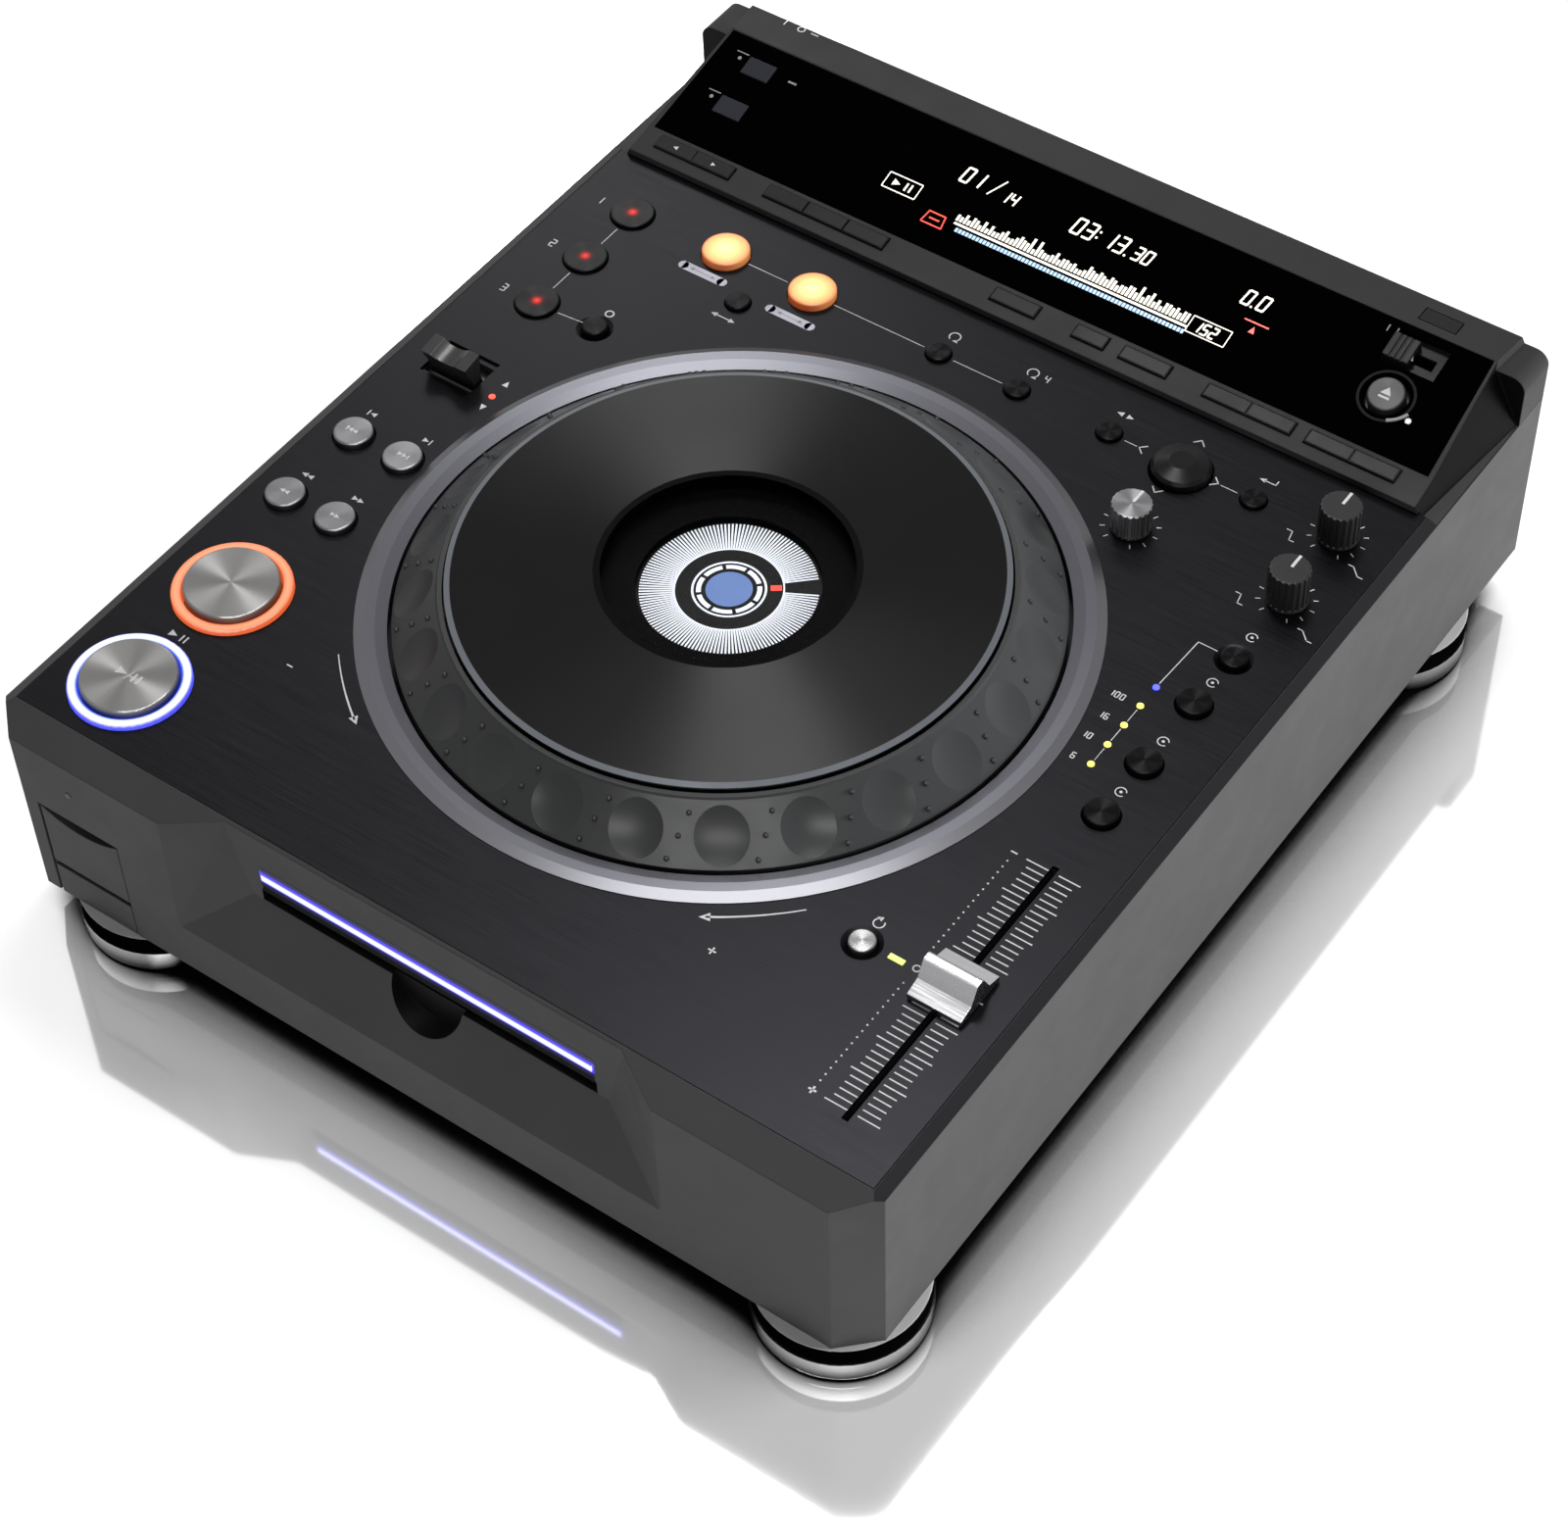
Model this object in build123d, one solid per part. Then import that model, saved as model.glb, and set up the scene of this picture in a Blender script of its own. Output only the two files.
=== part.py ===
from build123d import *
import math
import os

# Tabletop slot-in disc player. X is right, Y is back, Z is up, and the origin is on the floor
# under the middle of the whole object. Lengths are in millimetres.

# Jog wheel, which sets the size of the rest
JOG_Y = -28.8
WHEEL_R = 103.0
WHEEL_GAP = 1.4
RING_LIP_W = 3.6
RING_TOP_W = 3.4
RING_SLOPE_W = 3.2
RING_CREST_H = 1.8
RING_STEP_H = 1.5
RING_INNER_H = 0.2
RING_EDGE_H = 0.3
RING_SEAT_W = 0.6
RING_PLATE_GAP = 0.3
RING_INNER_R = WHEEL_R + WHEEL_GAP
RING_STEP_R = RING_INNER_R + RING_LIP_W
RING_CREST_R = RING_STEP_R + RING_TOP_W
RING_OUTER_R = RING_CREST_R + RING_SLOPE_W

# Round metal buttons beside the ring, which set the width of deck beside it
METAL_R = 6.5
METAL_H = 2.2
METAL_EDGE = 16.9
METAL_PITCH = 19.9
METAL_TO_RING = 1.5
BEZEL_GAP = 0.6
SIDE_BAND = METAL_EDGE + METAL_PITCH + METAL_R + BEZEL_GAP + METAL_TO_RING

# Body: bands of deck round the ring, then the display housing behind them
FRONT_BAND = 46.6
ROW_GAP = 13.8
ROW_BAND = 23.6
FOOT_H = 16.4
BODY_H = 71.6
CORNER_CUT = 11.0
WALL = 3.0
DECK_T = 3.0
PLATE_T = 1.5
PLATE_GAP = 0.2
SIDE_CHAMFER_W = 3.8
SIDE_CHAMFER_H = 1.7
BEVEL_L = 11.4
BEVEL_H = 3.1
BEVEL_TO_PLATE = 0.4
MORE = 1.0
JOIN = 0.5

HALF_W = RING_OUTER_R + SIDE_BAND
LEFT = -HALF_W
RIGHT = HALF_W
BODY_FRONT = JOG_Y - RING_OUTER_R - FRONT_BAND
ROW_Y = JOG_Y + RING_OUTER_R + ROW_GAP
PLATE_FRONT = BODY_FRONT + BEVEL_L + BEVEL_TO_PLATE
PLATE_BACK = ROW_Y + ROW_BAND
DECK_TOP = FOOT_H + BODY_H
DECK_SEAT = DECK_TOP - PLATE_T
DECK_UNDER = DECK_SEAT - DECK_T
INNER_HALF_W = HALF_W - WALL
PLATE_HALF_W = HALF_W - SIDE_CHAMFER_W - BEVEL_TO_PLATE

# Display housing at the back
HOUSING_H = 19.0
NOSE_OVER = 0.7
NOSE_H = 2.6
NOSE_GAP = 0.3
LEDGE_L = 11.5
WINDOW_FRONT_H = 5.2
EJECT_FROM_FRONT = 18.7
EJECT_R = 6.2
EJECT_RING_IN = EJECT_R + 2.4
EJECT_RING_OUT = EJECT_RING_IN + 0.9
LOCK_RECESS_L = 12.4
LOCK_TO_RING = 0.8
LOCK_FROM_BACK = 8.7
LOCK_FROM_EJECT = EJECT_RING_OUT + LOCK_TO_RING + LOCK_RECESS_L / 2
WINDOW_L = EJECT_FROM_FRONT + LOCK_FROM_EJECT + LOCK_FROM_BACK
WINDOW_BACK_DROP = 0.3
WINDOW_T = 1.6
WINDOW_EDGE = 1.0
WINDOW_HOLE_L = 12.0
ROOF_L = 14.3
ROOF_STEP = 0.4
HOUSING_WALL = 2.5
HOUSING_SEAT_GAP = 0.4
HOUSING_TOP = DECK_TOP + HOUSING_H
NOSE_Y = PLATE_BACK - NOSE_OVER
WINDOW_FRONT_Y = NOSE_Y + LEDGE_L
WINDOW_BACK_Y = WINDOW_FRONT_Y + WINDOW_L
WINDOW_BACK_H = HOUSING_H - WINDOW_BACK_DROP
BODY_BACK = WINDOW_BACK_Y + ROOF_L
WINDOW_SIDE_FRONT = HALF_W - 9.1
WINDOW_SIDE_BACK = HALF_W - 11.4
NOSE_SIDE = HALF_W - 8.0
FACET_FOOT_X = HALF_W - 4.0
FACET_FOOT_Y = WINDOW_FRONT_Y + 16.0
HOUSING_FOOT_Y = PLATE_BACK + HOUSING_SEAT_GAP
HOUSING_INNER_HALF = HALF_W - 15.0
HOUSING_FLOOR_LIP = 6.0
HOUSING_FLOOR_EDGE = 0.6
CAVITY_STEP = 0.4
CAVITY_BACK = 1.9
REAR_BLOCK_L = 16.0
REAR_BLOCK_H = 17.0
REAR_BLOCK_ROUND = 5.0
APERTURE_LEFT = LEFT + 80.0
APERTURE_RIGHT = RIGHT - 60.0
APERTURE_Y = WINDOW_FRONT_Y + 22.0
APERTURE_L = 32.0
APERTURE_T = 8.0

# Front recess with the disc slot
SLOT_HALF_W = 62.0
SLOT_H = 4.8
RECESS_DEPTH = 10.2
RECESS_DROP = 29.3
RECESS_SLOPE_H = 22.7
RECESS_MOUTH_HALF = SLOT_HALF_W + 28.0
RECESS_TOP_HALF = SLOT_HALF_W + 10.5
RECESS_LOW_HALF = SLOT_HALF_W + 4.0
RECESS_LOW = DECK_TOP - RECESS_DROP
RECESS_MOUTH_LOW = RECESS_LOW - RECESS_SLOPE_H
RECESS_WALL = BODY_FRONT + RECESS_DEPTH
SLOT_TOP = RECESS_LOW + SLOT_H
NOTCH_R = 13.0
NOTCH_DEPTH = 1.8
STRIP_HALF_W = SLOT_HALF_W - 1.6
STRIP_LIFT = 5.9
STRIP_Z = SLOT_TOP + STRIP_LIFT
STRIP_H = 1.5
STRIP_PROUD = 0.3
STRIP_GAP = 0.1
STRIP_TAIL = 3.0

# Card door and the bay behind it
DOOR_W = 30.7
DOOR_H = 25.5
DOOR_T = 2.5
DOOR_GAP = 1.2
DOOR_SIDE_GAP = 0.4
DOOR_DIP = 4.0
DOOR_LIP = 1.4
DOOR_PIN_R = 0.8
DOOR_PIN_GAP = 0.06
DOOR_PIN_L = 1.6
DOOR_BORE_L = 2.0
DOOR_GROOVE = 1.0
DOOR_LEFT = LEFT + 17.6
DOOR_RIGHT = DOOR_LEFT + DOOR_W
DOOR_TOP = DECK_TOP - 31.4
DOOR_LOW = DOOR_TOP - DOOR_H
BAY_DEPTH = 27.0
BAY_WALL = 2.4
BAY_TOP = DOOR_TOP + 2.0
CARD_LAMP_X = DOOR_LEFT + 14.4
CARD_LAMP_Z = DOOR_TOP + 15.4
CARD_LAMP_PROUD = 0.2

# Inside of the jog wheel
WELL_GAP = 3.0
WELL_R = WHEEL_R + WELL_GAP
WELL_WALL = 2.5
WELL_FLOOR_T = 2.0
WELL_FLOOR = DECK_TOP - 13.0
POST_R = 24.0
POST_TOP = DECK_TOP - 3.7
POST_BORE_R = 8.0
BEARING_GAP = 0.06
WHEEL_LIFT = 2.0
WHEEL_EDGE_H = 0.8
WHEEL_SLOPE_W = 14.6
WHEEL_LIP_W = 2.0
WHEEL_LIP_STEP = 0.5
SLOPE_TOP_H = 14.6
LIP_H = 15.3
WHEEL_WALL = 3.2
WHEEL_SKIN_TOP = 8.6
WHEEL_SKIN_LOW = 1.4
HUB_H = 3.0
WEB_T = 4.0
HUB_R = POST_R + 10.0
WHEEL_LOW = WELL_FLOOR + WHEEL_LIFT
WEB_LOW = WHEEL_LOW + HUB_H
WEB_TOP = WEB_LOW + WEB_T
SLOPE_TOP_R = WHEEL_R - WHEEL_SLOPE_W
LIP_R = SLOPE_TOP_R - WHEEL_LIP_W
DIMPLES = 24
DIMPLE_START = -55.3
DIMPLE_R = 9.0
DIMPLE_DEPTH = 1.3
DIMPLE_INSET = 7.1
NUB_R = 0.9
NUB_INSETS = (11.8, 6.8, 1.8)
NUB_LEAN = 1.6
DIMPLE_AT_R = WHEEL_R - DIMPLE_INSET
JOG_PLATE_GAP = 0.7
JOG_RIM_W = 1.8
JOG_PLATE_R = LIP_R - JOG_PLATE_GAP
JOG_RIM_R = JOG_PLATE_R - JOG_RIM_W
JOG_PLATE_EDGE_H = 16.7
JOG_RIM_H = 17.3
JOG_LENS_R = 40.8
JOG_LENS_H = 18.2
JOG_PLATE_T = 2.4
JOG_SKIRT_T = 1.6
JOG_SKIRT_LOW = 11.0
JOG_TOUCH = 0.5
PEG_R = 3.0
PEG_GAP = 0.1
PEG_AT_R = JOG_PLATE_R - 19.7
PEGS = 6
SCREEN_R = POST_R + 6.0
SCREEN_H = 8.3
SCREEN_BASE_T = 3.0
SCREEN_WALL = 2.0
SCREEN_RIM_H = 2.0
SCREEN_PLUG_L = 6.0
SCREEN_PLUG_GAP = 0.1

# Buttons, keys and their fits
BUTTON_GAP = 0.4
BUTTON_ROUND = 0.7
BUTTON_ROUND_SHARE = 0.45
FLANGE_W = 1.0
FLANGE_T = 1.0
FLANGE_CLEAR = 0.3
GLOW_FLANGE_DROP = 1.0
STEM_R = 1.5
TRAVEL = 0.8
BIG_TRAVEL = 1.2
SWITCH_CLEAR = 0.25
BOARD_Z = DECK_TOP - 17.6
BOARD_T = 1.6
SWITCH_H = 3.5
SWITCH_HALF = 3.0
BOARD_TOP = BOARD_Z + BOARD_T
SWITCH_TOP = BOARD_TOP + SWITCH_H

# Tempo fader and the column of buttons behind it
FADER_X = RIGHT - 23.4
HYPER_Y = ROW_Y - 60.6
JOG_MODE_Y = HYPER_Y - 22.2
RANGE_Y = JOG_MODE_Y - 27.9
MASTER_Y = RANGE_Y - 23.4
FADER_SLOT_FRONT = BODY_FRONT + 25.6
FADER_SLOT_BACK = MASTER_Y - 23.6
FADER_SLOT_W = 2.2
FADER_CAP_W = 18.0
FADER_CAP_L = 19.5
FADER_CAP_LOW = 0.6
FADER_LIP_H = 2.4
FADER_WAIST_H = 4.0
FADER_WAIST_L = 9.2
FADER_RIDGE_H = 9.8
FADER_RIDGE_L = 3.0
FADER_STEM_W = 1.4
FADER_STEM_L = 3.0
FADER_BODY_HALF_W = 6.0
FADER_BODY_WALL = 1.2
FADER_BODY_TOP = DECK_TOP - 6.5
FADER_LID_T = 1.0
FADER_LID_GAP = 0.2
FADER_ROUND = 1.1
FADER_END = 4.0
FADER_CARRIAGE_L = 6.0
FADER_CARRIAGE_H = 3.0
FADER_CARRIAGE_GAP = 0.3
FADER_Y = (FADER_SLOT_FRONT + FADER_SLOT_BACK) / 2

# Round buttons on the deck: x, y, radius and height over the plate
GLOW_BUTTON_R = 15.0
GLOW_BUTTON_H = 3.6
GLOW_RING_IN = GLOW_BUTTON_R + 0.6
GLOW_RING_OUT = GLOW_RING_IN + 3.4
GLOW_RING_H = 1.6
GLOW_RING_ROUND = 0.6
HOT_R = 7.4
HOT_H = 1.2
LIT_R = 8.1
LIT_H = 2.4
SMALL_R = 4.2
SMALL_H = 1.4
MODE_R = 5.4
MODE_H = 2.2
HOT_X = LEFT + 27.4
HOT_Y = ROW_Y - 1.2
HOT_PITCH = 26.2
LIT_Y = ROW_Y + 0.5
MODE_X = RIGHT - 23.1
PLAY_X = LEFT + 28.7
PLAY_Y = BODY_FRONT + 35.1
CUE_X = LEFT + 29.2
CUE_Y = PLAY_Y + 46.4
SEARCH_Y = CUE_Y + 40.1
TRACK_Y = SEARCH_Y + 32.9
RESET_X = FADER_X - 30.4
RESET_Y = FADER_Y - 0.55
DISH_W = 1.6
DISH_DEPTH = 0.9

ROUND_BUTTONS = {
    "play_button": (PLAY_X, PLAY_Y, GLOW_BUTTON_R, GLOW_BUTTON_H),
    "cue_button": (CUE_X, CUE_Y, GLOW_BUTTON_R, GLOW_BUTTON_H),
    "track_back_button": (LEFT + METAL_EDGE, TRACK_Y, METAL_R, METAL_H),
    "track_forward_button": (LEFT + METAL_EDGE + METAL_PITCH, TRACK_Y + 0.2, METAL_R, METAL_H),
    "search_back_button": (LEFT + 16.4, SEARCH_Y, METAL_R, METAL_H),
    "search_forward_button": (LEFT + METAL_EDGE + METAL_PITCH - 0.5, SEARCH_Y + 0.5, METAL_R, METAL_H),
    "hot_cue_a_button": (HOT_X, HOT_Y, HOT_R, HOT_H),
    "hot_cue_b_button": (HOT_X, HOT_Y - HOT_PITCH, HOT_R, HOT_H),
    "hot_cue_c_button": (HOT_X, HOT_Y - 2 * HOT_PITCH, HOT_R, HOT_H),
    "record_mode_button": (LEFT + 50.6, ROW_Y - 52.7, SMALL_R, SMALL_H),
    "loop_in_button": (LEFT + 64.9, LIT_Y, LIT_R, LIT_H),
    "loop_out_button": (LEFT + 100.0, LIT_Y, LIT_R, LIT_H),
    "back_and_forth_button": (LEFT + 82.2, ROW_Y - 16.7, SMALL_R, SMALL_H),
    "reloop_button": (RIGHT - 169.8, ROW_Y, SMALL_R, SMALL_H),
    "four_beat_button": (RIGHT - 139.6, ROW_Y, SMALL_R, SMALL_H),
    "cue_call_button": (RIGHT - 104.8, ROW_Y, SMALL_R, SMALL_H),
    "enter_button": (RIGHT - 51.9, ROW_Y, SMALL_R, SMALL_H),
    "hyper_jog_button": (RIGHT - 22.7, HYPER_Y, SMALL_R, SMALL_H),
    "jog_mode_button": (MODE_X, JOG_MODE_Y, MODE_R, MODE_H),
    "tempo_range_button": (MODE_X, RANGE_Y, MODE_R, MODE_H),
    "master_tempo_button": (MODE_X, MASTER_Y, MODE_R, MODE_H),
    "tempo_reset_button": (RESET_X, RESET_Y, SMALL_R, SMALL_H),
}
GLOW_BUTTONS = ("play_button", "cue_button")
BEZEL_BUTTONS = (
    "track_back_button", "track_forward_button", "search_back_button", "search_forward_button",
    "jog_mode_button", "tempo_range_button", "master_tempo_button",
)
DISHED_BUTTONS = ("record_mode_button", "hyper_jog_button", "tempo_reset_button")

# Cursor stick
CURSOR_X = RIGHT - 77.4
CURSOR_Y = ROW_Y - 1.4
CURSOR_HOLE_R = 10.5
CURSOR_CAP_R = CURSOR_HOLE_R - 0.8
CURSOR_CAP_H = 4.6
CURSOR_SIDE_H = 2.0
CURSOR_EDGE_H = 3.2
CURSOR_EDGE_W = 0.9
CURSOR_FLAT_R = 4.0
CURSOR_PIVOT_Z = DECK_TOP - 3.0
CURSOR_PIN_R = 0.8
CURSOR_BORE_R = CURSOR_PIN_R + 0.06
CURSOR_PIN_SEAT = 1.9
CURSOR_BORE_L = 2.2
CURSOR_PIN_GAP = 0.3
GIMBAL_IN_R = 5.8
GIMBAL_OUT_R = 8.2
GIMBAL_HALF_H = 1.2
CURSOR_STEM_R = 3.2
CURSOR_STEM_LOW = CURSOR_PIVOT_Z - 8.0
CURSOR_CLEAR = 1.3

# Knobs: x, y and height of the knob
KNOB_R = 6.6
KNOB_LIFT = 0.4
KNOB_ROUND = 0.6
KNOB_RIB_OUT = 0.1
KNOB_RIB_START = 1.0
KNOB_MARK_START = 0.6
KNOB_RIBS = 20
KNOB_RIB_R = 0.55
KNOB_SHAFT_R = 3.0
KNOB_SHAFT_GAP = 0.3
KNOB_MARK_W = 1.1
KNOB_MARK_DEPTH = 0.25
POT_HALF = 6.0
POT_H = 5.0
POT_CLEAR = 0.3
KNOBS = {
    "jog_adjust_knob": (RIGHT - 77.5, ROW_Y - 31.0, 10.0),
    "touch_brake_knob": (RIGHT - 22.5, ROW_Y + 1.0, 13.4),
    "release_start_knob": (RIGHT - 22.0, ROW_Y - 30.6, 13.4),
}

# Direction lever
LEVER_X = LEFT + 25.3
LEVER_Y = JOG_Y + 36.8
LEVER_PIVOT_Z = DECK_TOP - 12.4
LEVER_SHIELD_R = 10.0
LEVER_SHIELD_T = 1.2
LEVER_SHIELD_ANGLE = 50.0
LEVER_SWING = 20.0
LEVER_HALF_W = 9.6
LEVER_SLOT_HALF_W = LEVER_HALF_W + 0.7
LEVER_SLOT_HALF_L = 6.2
LEVER_DISH_HALF_L = LEVER_SLOT_HALF_L + 1.8
LEVER_TOP_H = 9.6
LEVER_WAIST_H = 2.2
LEVER_ROOT_H = 4.0
LEVER_ROOT_HALF = 2.6
LEVER_WAIST_HALF = 2.0
LEVER_TOP_HALF = 4.0
LEVER_SIDE_INSET = 0.6
LEVER_SCOOP_R = 9.0
LEVER_SCOOP_DEPTH = 1.6
LEVER_SCOOP_HALF = 8.0
LEVER_RIB_HALF = 1.2
LEVER_PIN_R = 1.5
LEVER_PIN_GAP = 0.05
LEVER_EAR_T = 2.4
LEVER_EAR_GAP = 1.0
LEVER_EAR_HALF_L = 4.0
LEVER_EAR_DROP = 3.0

# Lamps on the deck
LAMP_R = 1.1
LAMP_GAP = 0.1
LAMP_X = RIGHT - 36.0
LAMP_TOP_Y = JOG_MODE_Y - 0.4
LAMP_FIRST_Y = LAMP_TOP_Y - 8.9
LAMP_PITCH = 9.1
LAMP_COUNT = 4
DIRECTION_LAMP = (LEVER_X + 17.3, LEVER_Y - 5.1)
RESET_LAMP_X = FADER_X - 19.1
RESET_LAMP_Y = RESET_Y + 0.6
RESET_LAMP_L = 5.0
RESET_LAMP_W = 1.8
LAMP_LIFT = 0.25

# Keys on the housing: middle, width
LEDGE_KEY_Y = NOSE_Y + 7.1
LEDGE_KEY_L = 5.1
LEDGE_KEY_LIFT = 0.9
LEDGE_KEY_GAP = 0.35
LEDGE_KEY_CATCH = 0.1
LEDGE_KEY_EDGE = 0.35
LEDGE_STEM_R = 1.2
LEDGE_HOLE_L = 8.0
LEDGE_HOLE_UP = 2.0
TRIPLE_W = 15.9
TRIPLE_PITCH = TRIPLE_W + 0.3
SUBTITLE_X = LEFT + 84.75
LEDGE_KEYS = {
    "angle_key": (SUBTITLE_X - TRIPLE_PITCH, TRIPLE_W),
    "subtitle_key": (SUBTITLE_X, TRIPLE_W),
    "audio_key": (SUBTITLE_X + TRIPLE_PITCH, TRIPLE_W),
    "display_key": (RIGHT - 159.9, 17.2),
    "delete_key": (RIGHT - 131.0, 12.0),
    "memory_key": (RIGHT - 110.2, 17.6),
}
SINGLE_KEYS = ("display_key", "delete_key", "memory_key")
ROCKERS = {
    "folder_rocker": (LEFT + 30.6, 31.0),
    "menu_rocker": (RIGHT - 71.7, 32.0),
    "return_rocker": (RIGHT - 34.4, 32.0),
}
ROCKER_PIN_R = 0.9
ROCKER_PIN_GAP = 0.06
ROCKER_PIVOT_DEPTH = 4.5
ROCKER_EAR_T = 1.6
ROCKER_EAR_W = 5.0
ROCKER_EAR_H = 4.0
ROCKER_EAR_GAP = 0.5
ROCKER_EAR_DEPTH = 4.0
ROCKER_BORE_L = 12.0
ROCKER_PIN_SHORT = 0.2
ROCKER_CAP_T = 2.2
ROCKER_WEB_W = 3.2
ROCKER_WEB_GAP = 0.3
ROCKER_GROOVE_W = 0.5
ROCKER_GROOVE_DEPTH = 0.4
WINDOW_KEY_X = LEFT + 30.1
WINDOW_KEY_W = 11.0
WINDOW_KEY_L = 7.0
WINDOW_KEYS = {"time_mode_key": WINDOW_BACK_Y - 9.9, "text_mode_key": WINDOW_FRONT_Y + 17.2}
WINDOW_KEY_LIFT = 0.3
WINDOW_KEY_FLANGE = 1.3
EJECT_X = RIGHT - 36.0
EJECT_Y = WINDOW_FRONT_Y + EJECT_FROM_FRONT
EJECT_GAP = 1.1
EJECT_FLANGE = 2.2
EJECT_ROUND = 0.8
EJECT_LIFT = 1.8
EJECT_RING_DEPTH = 0.7
EJECT_RING_LIFT = 0.15
EJECT_LAMP = (EJECT_X + 10.6, EJECT_Y - 4.8)
EJECT_LAMP_T = 0.9
EJECT_LAMP_LIFT = 0.2
LOCK_X = RIGHT - 35.6
LOCK_Y = EJECT_Y + LOCK_FROM_EJECT
LOCK_RECESS_W = 19.8
LOCK_RECESS_DEPTH = 2.6
LOCK_KNOB_W = 9.0
LOCK_KNOB_L = 9.0
LOCK_KNOB_LIFT = 1.0
LOCK_SIDE_GAP = 0.6
LOCK_FLOOR_GAP = 0.2
LOCK_STEM = 3.0
LOCK_STEM_L = 4.2
LOCK_STEM_AT = 2.0
LOCK_SLOT_GAP = 0.5
LOCK_SLOT_SIDE = 0.4
LOCK_SLOT_L = 8.0
LOCK_SLOT_AT = 6.0
LOCK_GROOVES = 3
LOCK_GROOVE_PITCH = 2.0
LOCK_GROOVE_W = 0.7
LOCK_GROOVE_DEPTH = 0.4
STOP_X = RIGHT - 35.0
STOP_Y = WINDOW_BACK_Y + 6.5
STOP_W = 13.0
STOP_L = 5.4
STOP_FLANGE_W = 1.2
STOP_FLANGE_L = 1.0
STOP_HOLE_L = 6.0
DISPLAY_BOARD_DEPTH = 11.0
DISPLAY_BOARD_HALF_W = HALF_W - 18.0
DISPLAY_BOARD_L = 34.0
DISPLAY_BOARD_Y = WINDOW_FRONT_Y + 21.0
DISPLAY_GLASS_H = 5.0
DISPLAY_GLASS_INSET = 2.0
DISPLAY_POST_R = 2.0
DISPLAY_POSTS_X = (LEFT + 54.0, RIGHT - 51.0)
DISPLAY_POSTS_Y = (WINDOW_FRONT_Y + 10.0, WINDOW_FRONT_Y + 32.0)

# Base and feet
PAN_T = 1.5
PAN_GAP = 0.3
PAN_TOP = FOOT_H + PAN_T
PANEL_T = 1.5
PANEL_INSET = 0.3
PANEL_GAP = 1.0
PANEL_HALF_W = HALF_W - 10.0
PANEL_TOP = DECK_TOP - 8.0
PANEL_FACE = BODY_BACK - PANEL_INSET
PANEL_BACK = PANEL_FACE - PANEL_T
FOOT_R = 27.0
FOOT_LOWER_H = 9.6
FOOT_BAND_INSET = 0.5
FOOT_ROUND = 3.0
FOOT_RECESS_R = 5.0
FOOT_RECESS_H = 8.0
FOOT_X = RIGHT - 23.2
FOOT_FRONT_Y = BODY_FRONT + 22.5
FOOT_BACK_Y = BODY_BACK - 45.0
FEET = (
    (FOOT_X, FOOT_FRONT_Y), (LEFT + 38.2, FOOT_FRONT_Y),
    (FOOT_X, FOOT_BACK_Y), (-FOOT_X, FOOT_BACK_Y),
)

# Screws
SCREW_HEAD_R = 3.0
SCREW_HEAD_T = 1.2
SCREW_R = 1.4
SCREW_GAP = 0.05
SCREW_HOLE_GAP = 0.3
PAN_SCREW_L = 12.0
PAN_LUG_HALF = 5.0
PAN_LUG_H = 20.0
PAN_BORE_L = 15.0
PAN_SCREW_X = HALF_W - 9.0
PAN_SCREWS = (
    (PAN_SCREW_X, BODY_FRONT + 70.0), (PAN_SCREW_X, JOG_Y + 33.8), (PAN_SCREW_X, BODY_BACK - 72.2),
    (-PAN_SCREW_X, BODY_FRONT + 90.0), (-PAN_SCREW_X, JOG_Y + 33.8), (-PAN_SCREW_X, BODY_BACK - 72.2),
)
FOOT_SCREW_R = 2.0
FOOT_SCREW_HEAD_R = 4.0
FOOT_SCREW_HEAD_T = 2.2
FOOT_BOSS_R = 5.0
FOOT_BOSS_H = 5.0
PANEL_SCREW_X = HALF_W - 13.5
PANEL_SCREW_Z = (PANEL_TOP - 35.0, PANEL_TOP - 12.0)
PANEL_SCREW_L = 8.0
PANEL_LUG_L = 10.0
PANEL_LUG_EDGE = 6.0
PANEL_LUG_HALF = 4.0

# Disc drive
DRIVE_HALF_W = SLOT_HALF_W + 11.0
DRIVE_L = 180.3
DRIVE_LOW = PAN_TOP + 12.1
DRIVE_TOP = SLOT_TOP + 4.5
DRIVE_GAP = 0.5
DRIVE_FRONT = RECESS_WALL + WALL + DRIVE_GAP
DRIVE_BACK = DRIVE_FRONT + DRIVE_L
DRIVE_COVER_T = 1.2
DRIVE_WALL = 2.0
DRIVE_NOSE = 22.0
DRIVE_BED_T = 8.0
DISC_SPACE_L = 126.3
ROLLER_R = 3.6
ROLLER_GAP = 0.6
ROLLER_AT = 9.0
ROLLER_INSET = 2.0
SPINDLE_R = 13.0
SPINDLE_GAP = 1.0
SPINDLE_H = 8.4
SPINDLE_DROP = 0.6
SPINDLE_Y = DRIVE_FRONT + 64.3
DRIVE_POST_R = 4.0
DRIVE_POST_X = DRIVE_HALF_W - 8.0
DRIVE_POSTS_Y = (RECESS_WALL + 20.0, DRIVE_BACK - 10.0)

# Boards
BOARD_HALF_W = HALF_W - 6.5
BOARD_FRONT = BODY_FRONT + WALL + 12.0
BOARD_BACK = BODY_BACK - WALL - 5.0
BOARD_WELL_GAP = 1.5
BOARD_NOTCH_HALF = RECESS_MOUTH_HALF + 14.0
BOARD_LUG_GAP = 1.0
BOARD_POST_R = 3.0
BOARD_POST_X = HALF_W - 9.5
BOARD_POSTS_Y = (BODY_FRONT + 40.0, JOG_Y + 88.8, BODY_BACK - 18.2)
READER_GAP = 0.3
READER_L = 21.7
READER_LIFT = 4.0
READER_DROP = 6.0
POWER_BOARD_LIFT = 6.0
POWER_BOARD_W = 140.0
POWER_BOARD_L = 98.0
POWER_BOARD_LEFT = LEFT + 60.0
POWER_BOARD_BACK = BODY_BACK - 24.2
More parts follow.
